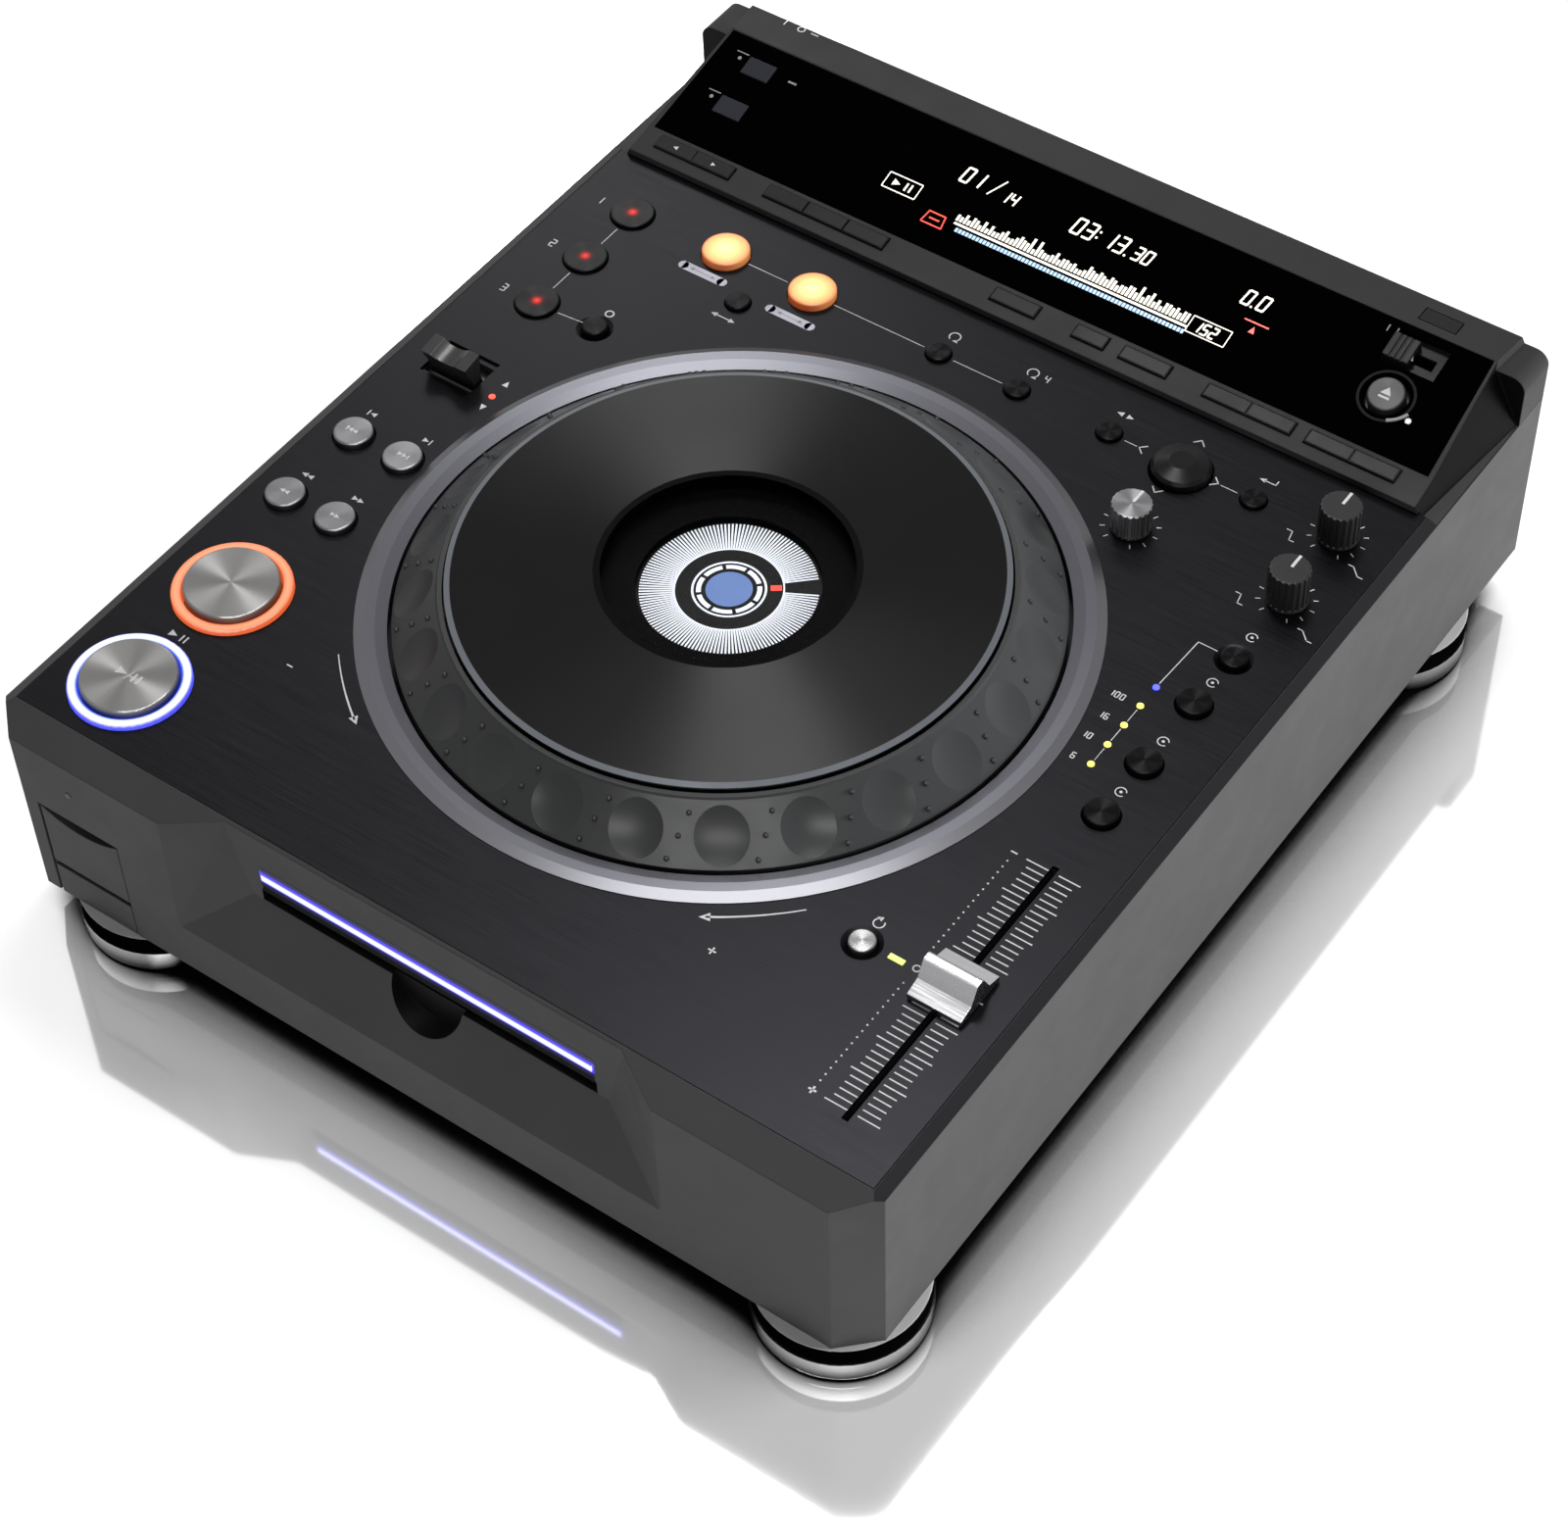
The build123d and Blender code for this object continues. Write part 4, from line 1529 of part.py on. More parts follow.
def socket(x, z, r, bore_r):
    body = rod_y(x, z, r, PANEL_BACK - SOCKET_BODY_L, SOCKET_END)
    bore = rod_y(x, z, bore_r, PANEL_BACK - SOCKET_BORE_L, SOCKET_END + MORE)
    half = r + SOCKET_CASE
    case = block(x - half, x + half, PANEL_BACK - SOCKET_CASE_L, PANEL_BACK, z - half, z + half)
    return case + body - bore


def mains_inlet():
    x0 = INLET_X - INLET_W / 2
    x1 = INLET_X + INLET_W / 2
    z0 = INLET_Z - INLET_H / 2
    z1 = INLET_Z + INLET_H / 2
    rim = INLET_RIM
    wall = INLET_WALL
    face = PANEL_FACE + INLET_RIM_T
    body = block(x0, x1, PANEL_BACK - INLET_L, face, z0, z1)
    body += block(x0 - rim, x1 + rim, PANEL_FACE, face, z0 - rim, z1 + rim)
    body -= block(x0 + wall, x1 - wall, PANEL_BACK - INLET_DEPTH, face + MORE, z0 + wall, z1 - wall)
    for side in (-1, 1):
        body += rod_y(INLET_X + side * INLET_PIN_X, INLET_Z, INLET_PIN_R,
                      PANEL_BACK - INLET_DEPTH - MORE, PANEL_FACE - INLET_PIN_BACK)
    return body


def rear_sockets():
    solids = [socket(x, SOCKET_Z, SOCKET_R, SOCKET_BORE_R) for x in SOCKETS_X]
    solids += [socket(x, SOCKET_Z, JACK_R, JACK_BORE_R) for x in JACKS_X]
    solids.append(mains_inlet())
    return Compound(children=[part.solid() for part in solids])


def power_button():
    cap_back = PANEL_BACK - POWER_CAP_L
    cap = block(POWER_X - POWER_HALF, POWER_X + POWER_HALF, cap_back, PANEL_FACE + POWER_LIFT,
                POWER_Z - POWER_HALF, POWER_Z + POWER_HALF)
    cap = fillet(cap.faces().sort_by(Axis.Y)[-1].edges(), POWER_ROUND)
    half = POWER_STEM_HALF
    return cap + block(POWER_X - half, POWER_X + half, cap_back - POWER_STEM_L, cap_back + MORE,
                       POWER_Z - half, POWER_Z + half)


def light_guides():
    strip_back = RECESS_WALL + WALL + STRIP_TAIL
    solids = [block(-STRIP_HALF_W, STRIP_HALF_W, RECESS_WALL - STRIP_PROUD, strip_back, STRIP_Z, STRIP_Z + STRIP_H)]
    solids += [light_ring(PLAY_X, PLAY_Y), light_ring(CUE_X, CUE_Y)]
    solids += [disc(x, y, LAMP_R, DECK_UNDER, DECK_TOP + LAMP_LIFT) for x, y in lamp_places()]
    solids.append(reset_lamp_block(0, DECK_UNDER, DECK_TOP + LAMP_LIFT))
    solids.append(ring_groove(0, -EJECT_RING_DEPTH, EJECT_RING_LIFT))
    lamp = Pos(0, 0, EJECT_LAMP_LIFT - EJECT_LAMP_T / 2) * Cylinder(LAMP_R, EJECT_LAMP_T)
    solids.append(on_window(*EJECT_LAMP) * lamp)
    solids.append(rod_y(CARD_LAMP_X, CARD_LAMP_Z, LAMP_R, BODY_FRONT - CARD_LAMP_PROUD, BODY_FRONT + WALL))
    return Compound(children=[part.solid() for part in solids])


def card_door():
    x0 = DOOR_LEFT
    x1 = DOOR_RIGHT
    y0 = BODY_FRONT
    hinge_y = y0 + DOOR_T / 2
    hinge_z = DOOR_LOW + DOOR_T / 2
    leaf = block(x0, x1, y0, y0 + DOOR_T, hinge_z, DOOR_TOP + DOOR_LIP)
    leaf += rod_x(hinge_y, hinge_z, DOOR_T / 2, x0, x1)
    middle = (x0 + x1) / 2
    half = (x1 - x0) / 2
    scoop_r = (half ** 2 + DOOR_DIP ** 2) / (2 * DOOR_DIP)
    leaf -= rod_y(middle, DOOR_TOP + DOOR_LIP - DOOR_DIP + scoop_r, scoop_r, y0 - MORE, y0 + DOOR_T + MORE)
    leaf += rod_x(hinge_y, hinge_z, DOOR_PIN_R, x0 - DOOR_GAP - DOOR_PIN_L, x1 + DOOR_SIDE_GAP + DOOR_PIN_L)
    return leaf


def main():
    os.makedirs("parts", exist_ok=True)
    save("base_chassis", base_chassis())
    save("cabinet", cabinet())
    save("top_plate", top_plate())
    save("display_housing", display_housing())
    save("display_window", display_window())
    save("jog_ring", jog_ring())
    save("jog_display", jog_display())
    save("feet", feet())
    save("light_guides", light_guides())
    save("circuit_boards", circuit_boards())
    save("disc_drive", disc_drive())
    save("rear_sockets", rear_sockets())
    save("screws", screws())
    save("jog_wheel", jog_wheel())
    save("jog_plate", jog_plate())
    save("tempo_fader", tempo_fader())
    save("direction_lever", direction_lever())
    save("cursor_gimbal", cursor_gimbal())
    save("cursor_stick", cursor_stick())
    save("eject_button", eject_button())
    save("lock_slide", lock_slide())
    save("stop_button", stop_button())
    save("power_button", power_button())
    save("card_door", card_door())
    for name in ROUND_BUTTONS:
        save(name, round_button(name))
    for name in KNOBS:
        save(name, knob(name))
    for name in LEDGE_KEYS:
        save(name, ledge_key(name))
    for name in ROCKERS:
        save(name, rocker(name))
    for name in WINDOW_KEYS:
        save(name, window_key(name))


main()
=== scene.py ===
import math
import random
import bpy
import bmesh
from mathutils import Matrix, Vector


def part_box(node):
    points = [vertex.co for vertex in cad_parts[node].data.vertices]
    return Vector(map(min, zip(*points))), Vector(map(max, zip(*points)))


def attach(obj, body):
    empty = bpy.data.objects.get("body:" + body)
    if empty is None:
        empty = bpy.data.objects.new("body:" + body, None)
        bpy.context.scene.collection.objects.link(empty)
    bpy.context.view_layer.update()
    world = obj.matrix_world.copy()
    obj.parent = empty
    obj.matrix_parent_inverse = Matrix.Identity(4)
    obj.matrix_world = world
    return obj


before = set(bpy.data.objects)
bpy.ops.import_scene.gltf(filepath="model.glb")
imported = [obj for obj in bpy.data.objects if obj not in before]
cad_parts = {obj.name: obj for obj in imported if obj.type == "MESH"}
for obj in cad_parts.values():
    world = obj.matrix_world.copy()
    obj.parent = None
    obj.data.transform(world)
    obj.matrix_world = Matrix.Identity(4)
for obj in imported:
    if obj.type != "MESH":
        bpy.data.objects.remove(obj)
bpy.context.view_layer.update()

# Sizes in millimetres, in the part's own frame: X right, Y back, Z up
MM = 0.001
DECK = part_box("top_plate")[1].z / MM
HOUSING_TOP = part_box("display_housing")[1].z / MM
PRINT_T = 0.04
FOOT_RIM_TOP = 9.9
REAR_PANEL = 191.0

# The jog wheel: the clear part of its plate, the plate's own rim, and the ring's outer slope
JOG_Y = -28.8
JOG_CLEAR_R = 38.4
JOG_LENS_R = 40.7
JOG_RIM_R = 83.7
RING_SLOPE_W = 3.2
JOG_SCREEN_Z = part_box("jog_display")[1].z / MM - 2.0

# The sloped window and the ledge before it, as (y, z) points, and the housing's cheeks
LEDGE_FRONT = (122.5, 90.6)
WINDOW_FRONT = (134.0, 93.2)
WINDOW_BACK = (177.9, 106.7)
WINDOW_TILT = math.atan2(WINDOW_BACK[1] - WINDOW_FRONT[1], WINDOW_BACK[0] - WINDOW_FRONT[0])
LEDGE_KEY_RISE = 0.95
CHEEK_X = 145.0

# The front: its recess, the disc slot with the notch below it, the light strip, and the painted glow beside
# it
FRONT_WALL = -175.0
RECESS_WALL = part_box("cabinet")[0].y / MM + 10.2
EDGE_LOW = 70.0
SLOT_FRONT = -179.9
SLOT_BACK = -120.0
SLOT_FLOOR = 45.0
SLOT_LOW = 58.7
SLOT_TOP = 63.5
SLOT_HALF_W = 62.0
NOTCH_R = 13.0
STRIP_MIDDLE = 70.15
STRIP_HALF_W = 60.4
PAINTED_GLOW_H = 4.4
LENS_H = 3.2

# Lamps, and how far the light of the strip, rings and buttons reaches
LAMP_ROW_X = 124.0
LAMP_ROW_Y = 7.5
LAMP_PITCH = 9.1
BLUE_LAMP_Y = 16.4
EJECT_LOW = 140.0
STRIP_BAND = (69.4, 70.9)
RING_BAND = (15.6, 19.0)
HOT_GLOW_R = 3.4
LIT_GLOW_R = 8.1

# The places of a colour mix node's two colours and its result
COLOR_A, COLOR_B, COLOR_OUT = 6, 7, 2


def spot(node):
    """The middle of a node in plan and its top, in millimetres."""
    low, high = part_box(node)
    return (low.x + high.x) / 2 / MM, (low.y + high.y) / 2 / MM, high.z / MM


def plan(node):
    """The middle of a node in plan, in millimetres."""
    return spot(node)[:2]


def centre_line(node):
    """The foot of a node's upright centre line, in metres."""
    x, y = plan(node)
    return x * MM, y * MM, 0


def around(x, y, radius, angle):
    """The point at a radius from x, y, at an angle in radians."""
    return x + radius * math.cos(angle), y + radius * math.sin(angle)


# Surfaces that carry prints: a point (x, y) in plan is lifted onto the surface

def surface(front, back):
    """The plane through two (y, z) points, level from left to right."""
    slope = (back[1] - front[1]) / (back[0] - front[0])
    rise = front[1] - slope * front[0]
    place = Matrix(((1, 0, 0, 0), (0, 1, 0, 0), (0, slope, 1, rise), (0, 0, 0, 1)))
    return Matrix.Scale(MM, 4) @ place


def level(z):
    return surface((0, z), (1, z))


FLAT_DECK = level(DECK)
WINDOW = surface(WINDOW_FRONT, WINDOW_BACK)
JOG_SCREEN = level(JOG_SCREEN_Z)
ROOF = level(HOUSING_TOP)


def upright(y):
    """A surface that faces the front, where a point is (x, z)."""
    return Matrix.Scale(MM, 4) @ Matrix(((1, 0, 0, 0), (0, 0, -1, y), (0, 1, 0, 0), (0, 0, 0, 1)))


# Materials

class Paint:
    """A material with helpers for the nodes that its detail needs."""

    def __init__(self, name, color, rough, metal=0.0, specular=0.5):
        self.material = bpy.data.materials.new(name)
        self.material.use_nodes = True
        self.nodes = self.material.node_tree.nodes
        self.links = self.material.node_tree.links
        self.shader = self.nodes["Principled BSDF"]
        self.color = (*color, 1.0)
        self.set("Base Color", self.color)
        self.set("Roughness", rough)
        self.set("Metallic", metal)
        self.set("Specular IOR Level", specular)
        self.rough = rough
        self.normal = None

    def set(self, socket, value):
        self.shader.inputs[socket].default_value = value

    def node(self, kind, **values):
        made = self.nodes.new(kind)
        for key, value in values.items():
            if key in made.inputs.keys():
                made.inputs[key].default_value = value
            else:
                setattr(made, key, value)
        return made

    def link(self, source, target):
        self.links.new(source, target)

    def place(self, scale=(1, 1, 1), centre=(0, 0, 0)):
        coord = self.node("ShaderNodeTexCoord")
        shift = self.node("ShaderNodeMapping")
        shift.inputs["Scale"].default_value = scale
        shift.inputs["Location"].default_value = [-c * s for c, s in zip(centre, scale)]
        self.link(coord.outputs["Object"], shift.inputs["Vector"])
        return shift.outputs["Vector"]

    def noise(self, scale, detail=3.0, stretch=(1, 1, 1)):
        noise = self.node("ShaderNodeTexNoise", Scale=scale, Detail=detail)
        self.link(self.place(stretch), noise.inputs["Vector"])
        return noise.outputs["Fac"]

    def remap(self, value, low, high, out_low, out_high):
        ramp = self.node("ShaderNodeMapRange")
        ramp.inputs["From Min"].default_value = low
        ramp.inputs["From Max"].default_value = high
        ramp.inputs["To Min"].default_value = out_low
        ramp.inputs["To Max"].default_value = out_high
        self.link(value, ramp.inputs["Value"])
        return ramp.outputs["Result"]

    def part_of(self, value, low, high):
        """How far a value is from low to high, as 0 to 1."""
        return self.remap(value, low, high, 0.0, 1.0)

    def mottle(self, scale, amount, stretch=(1, 1, 1), detail=3.0):
        """Colour that varies a little, as moulded and brushed surfaces do."""
        mix = self.node("ShaderNodeMix", data_type="RGBA")
        dark = [c * (1 - amount) for c in self.color[:3]] + [1.0]
        light = [min(1.0, c * (1 + amount)) for c in self.color[:3]] + [1.0]
        mix.inputs[COLOR_A].default_value = dark
        mix.inputs[COLOR_B].default_value = light
        self.link(self.part_of(self.noise(scale, detail, stretch), 0.3, 0.7), mix.inputs["Factor"])
        self.link(mix.outputs[COLOR_OUT], self.shader.inputs["Base Color"])
        return self

    def wear(self, scale, amount, stretch=(1, 1, 1)):
        """Roughness that varies a little."""
        low = max(0.02, self.rough - amount)
        value = self.remap(self.noise(scale, 4.0, stretch), 0.3, 0.7, low, self.rough + amount)
        self.link(value, self.shader.inputs["Roughness"])
        return self

    def bump(self, height, strength, distance):
        bump = self.node("ShaderNodeBump", Strength=strength, Distance=distance)
        self.link(height, bump.inputs["Height"])
        if self.normal is not None:
            self.link(self.normal, bump.inputs["Normal"])
        self.normal = bump.outputs["Normal"]
        self.link(self.normal, self.shader.inputs["Normal"])
        return self

    def soften(self, radius):
        """Edges that catch the light as if they had a small radius."""
        bevel = self.node("ShaderNodeBevel", samples=4)
        bevel.inputs["Radius"].default_value = radius
        self.normal = bevel.outputs["Normal"]
        self.link(self.normal, self.shader.inputs["Normal"])
        return self

    def grain(self, scale, strength, distance=0.00005, stretch=(1, 1, 1)):
        return self.bump(self.noise(scale, 4.0, stretch), strength, distance)

    def height(self):
        """The height of each point, in metres."""
        split = self.node("ShaderNodeSeparateXYZ")
        self.link(self.place(), split.inputs["Vector"])
        return split.outputs["Z"]

    def radius_from(self, centre):
        """The distance of each point from an upright centre line, in metres."""
        split = self.node("ShaderNodeSeparateXYZ")
        self.link(self.place(centre=centre), split.inputs["Vector"])
        join = self.node("ShaderNodeCombineXYZ")
        for name in "XY":
            self.link(split.outputs[name], join.inputs[name])
        length = self.node("ShaderNodeVectorMath", operation="LENGTH")
        self.link(join.outputs["Vector"], length.inputs[0])
        return length.outputs["Value"]

    def turned(self, centre, pitch, strength):
        """Fine rings, as left by a lathe, about a centre."""
        wave = self.node("ShaderNodeTexNoise", Scale=1.0, Detail=2.0)
        wave.noise_dimensions = "1D"
        scaled = self.node("ShaderNodeMath", operation="MULTIPLY")
        scaled.inputs[1].default_value = 1.0 / pitch
        self.link(self.radius_from(centre), scaled.inputs[0])
        self.link(scaled.outputs["Value"], wave.inputs["W"])
        return self.bump(wave.outputs["Fac"], strength, 0.00003)

    def spun(self, amount):
        """Reflections stretched away from the middle of the piece, as on turned metal."""
        self.set("Anisotropic", amount)
        self.set("Anisotropic Rotation", 0.25)
        tangent = self.node("ShaderNodeTangent", direction_type="RADIAL", axis="Z")
        self.link(tangent.outputs["Tangent"], self.shader.inputs["Tangent"])
        return self

    def glow(self, color, strength):
        self.set("Emission Color", (*color, 1.0))
        self.set("Emission Strength", strength)
        return self

    def ramp(self, value, stops):
        """A colour that follows a value through the stops."""
        ramp = self.node("ShaderNodeValToRGB")
        while len(ramp.color_ramp.elements) < len(stops):
            ramp.color_ramp.elements.new(0.5)
        for element, (position, color) in zip(ramp.color_ramp.elements, stops):
            element.position = position
            element.color = (*color, 1.0)
        self.link(value, ramp.inputs["Fac"])
        return ramp.outputs["Color"]

    def color_ramp(self, value, stops):
        self.link(self.ramp(value, stops), self.shader.inputs["Base Color"])
        return self

    def glow_ramp(self, value, stops, strength):
        self.link(self.ramp(value, stops), self.shader.inputs["Emission Color"])
        self.set("Emission Strength", strength)
        return self

    def glow_bands(self, low, high, stops, strength):
        """Light that follows the stops from one height to another, in millimetres."""
        return self.glow_ramp(self.part_of(self.height(), low * MM, high * MM), stops, strength)

    def glow_rings(self, centre, inner, outer, stops, strength):
        """Light that follows the stops from one radius to another, in millimetres."""
        distance = self.radius_from(centre)
        return self.glow_ramp(self.part_of(distance, inner * MM, outer * MM), stops, strength)


def grey(value):
    return (value, value, value)


def moulded(name, color, rough=0.5, specular=0.3):
    """Textured moulded plastic with softened edges."""
    paint = Paint(name, color, rough, specular=specular)
    return paint.mottle(35.0, 0.05).wear(60.0, 0.06).soften(0.0006).grain(2600.0, 0.12)


def glossy(name, color, rough=0.12, specular=0.4):
    """Smooth glossy plastic with a faint haze."""
    return Paint(name, color, rough, specular=specular).mottle(90.0, 0.08).wear(45.0, 0.04).soften(0.0003)


def steel(name, color, rough=0.35, stretch=(1, 40, 40)):
    """Brushed sheet or turned metal with fine lines."""
    paint = Paint(name, color, rough, metal=1.0)
    paint.mottle(60.0, 0.08, stretch).wear(60.0, 0.08, stretch)
    return paint.soften(0.0003).grain(160.0, 0.15, stretch=stretch)


def lit(name, color, strength):
    """A lit lamp or display mark."""
    return Paint(name, color, 0.35).mottle(200.0, 0.04).glow(color, strength)


WHITE_INK = Paint("white_ink", grey(0.82), 0.5).mottle(300.0, 0.06).wear(200.0, 0.1)
GREY_INK = Paint("grey_ink", grey(0.3), 0.5).mottle(300.0, 0.06).wear(200.0, 0.1)
PALE_INK = Paint("pale_ink", (0.62, 0.62, 0.72), 0.45).mottle(300.0, 0.05).wear(200.0, 0.1)
DISPLAY_WHITE = lit("display_white", (1.0, 0.93, 0.8), 1.0)
DISPLAY_RED = lit("display_red", (1.0, 0.05, 0.03), 0.9)
SCREEN_WHITE = lit("screen_white", (0.85, 0.88, 0.95), 0.75)
SCREEN_BLUE = lit("screen_blue", (0.1, 0.2, 0.5), 0.6)
LAMP_YELLOW = lit("lamp_yellow", (0.95, 0.9, 0.15), 1.0)
LAMP_GREEN = lit("lamp_green", (0.7, 0.95, 0.15), 1.0)
LAMP_BLUE = lit("lamp_blue", (0.05, 0.07, 1.0), 2.2)
LAMP_RED = lit("lamp_red", (1.0, 0.06, 0.03), 1.2)
LAMP_OFF = glossy("lamp_off", grey(0.02))


# Dressing the CAD nodes

def wear_material(node, *paints, choose=None):
    """Gives a node its paints; choose(point, normal) returns the one for a face, by its middle."""
    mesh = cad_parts[node].data
    mesh.materials.clear()
    for paint in paints:
        mesh.materials.append(paint.material)
    for face in mesh.polygons:
        paint = choose(face.center / MM, face.normal) if choose else paints[0]
        face.material_index = paints.index(paint)


def smooth(node, angle=32.0):
    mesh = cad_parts[node].data
    mesh.shade_smooth()
    mesh.set_sharp_from_angle(angle=math.radians(angle))


def in_circle(point, x, y, radius):
    return math.hypot(point.x - x, point.y - y) < radius


CABINET = moulded("cabinet_plastic", grey(0.052), specular=0.12)
HOUSING = moulded("housing_plastic", grey(0.029), specular=0.12)
PLATE = Paint("brushed_plate", (0.0095, 0.0095, 0.0107), 0.34, metal=1.0)
PLATE.mottle(40.0, 0.14, (1, 60, 60)).wear(40.0, 0.05, (1, 60, 60))
PLATE.soften(0.00025).grain(150.0, 0.2, 0.00003, (1, 60, 60))


def dress_body():
    # Near-black paint for the faces inside the disc slot and on the finger notch's walls: painted shade in
    # these recesses.
    slot_painted_shade = glossy("slot_painted_shade", grey(0.002), 0.5, 0.1)
    # Near-black paint for the slanted faces of the housing's ends and for the faces under the window glass:
    # painted shade.
    cheek_painted_shade = moulded("housing_cheek_painted_shade", grey(0.0025), 0.35, 0.08)
    # A darker copy of the cabinet plastic for the chamfer along its right top edge: painted shade.
    edge = moulded("cabinet_edge_painted_shade", (0.012, 0.012, 0.014), 0.45, 0.1)

    def cabinet_part(point, normal):
        in_slot = abs(point.x) < SLOT_HALF_W + 0.5 and SLOT_FLOOR < point.z < SLOT_TOP + 1.0
        if in_slot and SLOT_FRONT < point.y < SLOT_BACK:
            return slot_painted_shade
        below_slot = SLOT_LOW - NOTCH_R - 1.0 < point.z < SLOT_LOW
        in_notch = below_slot and math.hypot(point.x, point.z - SLOT_LOW) < NOTCH_R + 0.1
        notch_wall = abs(normal.y) < 0.2 or normal.y < -0.98
        if in_notch and notch_wall and point.y < RECESS_WALL + 4.0:
            return slot_painted_shade
        return edge if normal.x > 0.3 and normal.z > 0.3 and point.z > EDGE_LOW else CABINET

    def housing_part(point, normal):
        slanted = 0.7 < abs(normal.x) < 0.95 or normal.y < -0.95
        if abs(point.x) > CHEEK_X and point.y < WINDOW_BACK[0] - 0.9 and slanted:
            return cheek_painted_shade
        glass = WINDOW_FRONT[1] + (point.y - WINDOW_FRONT[0]) * math.tan(WINDOW_TILT)
        under_glass = WINDOW_FRONT[0] < point.y < WINDOW_BACK[0] and point.z < glass - 1.0
        return cheek_painted_shade if under_glass else HOUSING

    wear_material("cabinet", CABINET, slot_painted_shade, edge, choose=cabinet_part)
    wear_material("card_door", CABINET)
    wear_material("display_housing", HOUSING, cheek_painted_shade, choose=housing_part)
    wear_material("top_plate", PLATE)
    wear_material("display_window", glossy("smoked_window", grey(0.001), 0.04, 0.0))
    wear_material("base_chassis", steel("chassis_sheet", (0.12, 0.12, 0.125), 0.42))
    wear_material("screws", steel("screw_metal", (0.2, 0.2, 0.21), 0.3))
    wear_material("circuit_boards", glossy("board_lacquer", (0.02, 0.07, 0.035), 0.3))
    wear_material("disc_drive", steel("drive_sheet", (0.004, 0.004, 0.0042), 0.6))


def dress_feet():
    # Above the rim, the feet's upward faces get pale paint and their side faces black paint: painted light
    # on the tops, painted shade on the sides.
    painted_light_crown = moulded("foot_crown_painted_light", grey(0.8), 0.3)
    painted_shade_band = glossy("foot_band_painted_shade", grey(0.001), 0.5, 0.0)
    rim = Paint("foot_rim_painted_shade", grey(0.1), 0.16, metal=1.0).wear(60.0, 0.04)
    # The rim's colour runs from dark near the floor to light at its top: painted shade low down and a
    # painted highlight high up.
    rim.color_ramp(rim.part_of(rim.height(), 0.001, 0.0098),
                   [(0.0, grey(0.015)), (0.3, grey(0.1)), (0.65, grey(0.42)), (1.0, grey(0.6))])
    sole = moulded("foot_sole", grey(0.03), 0.8)

    def choose(point, normal):
        if point.z > FOOT_RIM_TOP:
            return painted_light_crown if normal.z > 0.6 else painted_shade_band
        return sole if normal.z < -0.9 else rim

    wear_material("feet", painted_light_crown, painted_shade_band, rim, sole, choose=choose)
    smooth("feet")


def dress_sockets():
    body = glossy("socket_plastic", grey(0.02), 0.3)
    ring = Paint("socket_gold", (0.75, 0.52, 0.2), 0.22, metal=1.0).mottle(120.0, 0.08).wear(90.0, 0.05)
    pin = steel("inlet_pins", (0.6, 0.6, 0.6), 0.25)
    inlet_x, inlet_z = 124.0, 40.0

    def choose(point, normal):
        if abs(point.x - inlet_x) < 6.0 and point.y > 176.0 and abs(point.z - inlet_z) < 1.5:
            return pin
        return ring if point.y > REAR_PANEL and point.x < inlet_x - 14.0 else body

    wear_material("rear_sockets", body, ring, pin, choose=choose)
    smooth("rear_sockets")


def dress_lights():
    strip = Paint("strip_light", (0.1, 0.1, 0.3), 0.3).mottle(100.0, 0.03)
    strip.glow_bands(*STRIP_BAND, [(0.0, (0.1, 0.08, 1.0)), (0.2, (0.5, 0.5, 1.0)), (0.35, grey(1.0)),
                                   (0.75, (0.95, 0.95, 1.0)), (1.0, (0.12, 0.1, 1.0))], 1.3)
    play_ring = Paint("play_ring_light", grey(0.1), 0.3).mottle(100.0, 0.03)
    play_ring.glow_rings(
        centre_line("play_button"), *RING_BAND,
        [(0.0, (0.01, 0.03, 0.5)), (0.14, (0.05, 0.12, 1.0)), (0.26, (0.75, 0.82, 1.0)),
         (0.78, (0.92, 0.95, 1.0)), (0.92, (0.2, 0.22, 1.0)), (1.0, (0.05, 0.06, 0.9))], 1.1)
    cue_ring = Paint("cue_ring_light", grey(0.1), 0.3).mottle(100.0, 0.03)
    cue_ring.glow_rings(
        centre_line("cue_button"), *RING_BAND,
        [(0.0, (0.6, 0.07, 0.01)), (0.2, (0.95, 0.24, 0.07)), (0.5, (1.0, 0.36, 0.14)),
         (0.8, (1.0, 0.24, 0.07)), (1.0, (0.75, 0.1, 0.015))], 1.0)
    eject_ring = Paint("eject_ring_light", grey(0.012), 0.55, specular=0.05).mottle(100.0, 0.05)

    rounds = ((plan("play_button"), 22.0, play_ring), (plan("cue_button"), 22.0, cue_ring),
              ((134.6, 147.9), 2.0, LAMP_OFF), ((LAMP_ROW_X, BLUE_LAMP_Y), 3.0, LAMP_BLUE),
              ((-117.4, 2.9), 3.0, LAMP_RED))

    def choose(point, normal):
        if point.y < FRONT_WALL:
            return strip if point.z > 60.0 and abs(point.x) < 70.0 else LAMP_OFF
        for (x, y), radius, paint in rounds:
            if in_circle(point, x, y, radius):
                return paint
        if point.y > EJECT_LOW:
            return eject_ring
        return LAMP_GREEN if point.x < LAMP_ROW_X - 3.0 else LAMP_YELLOW

    wear_material("light_guides", strip, play_ring, cue_ring, LAMP_OFF, LAMP_BLUE, LAMP_RED, LAMP_YELLOW,
                  LAMP_GREEN, eject_ring, choose=choose)
    smooth("light_guides")


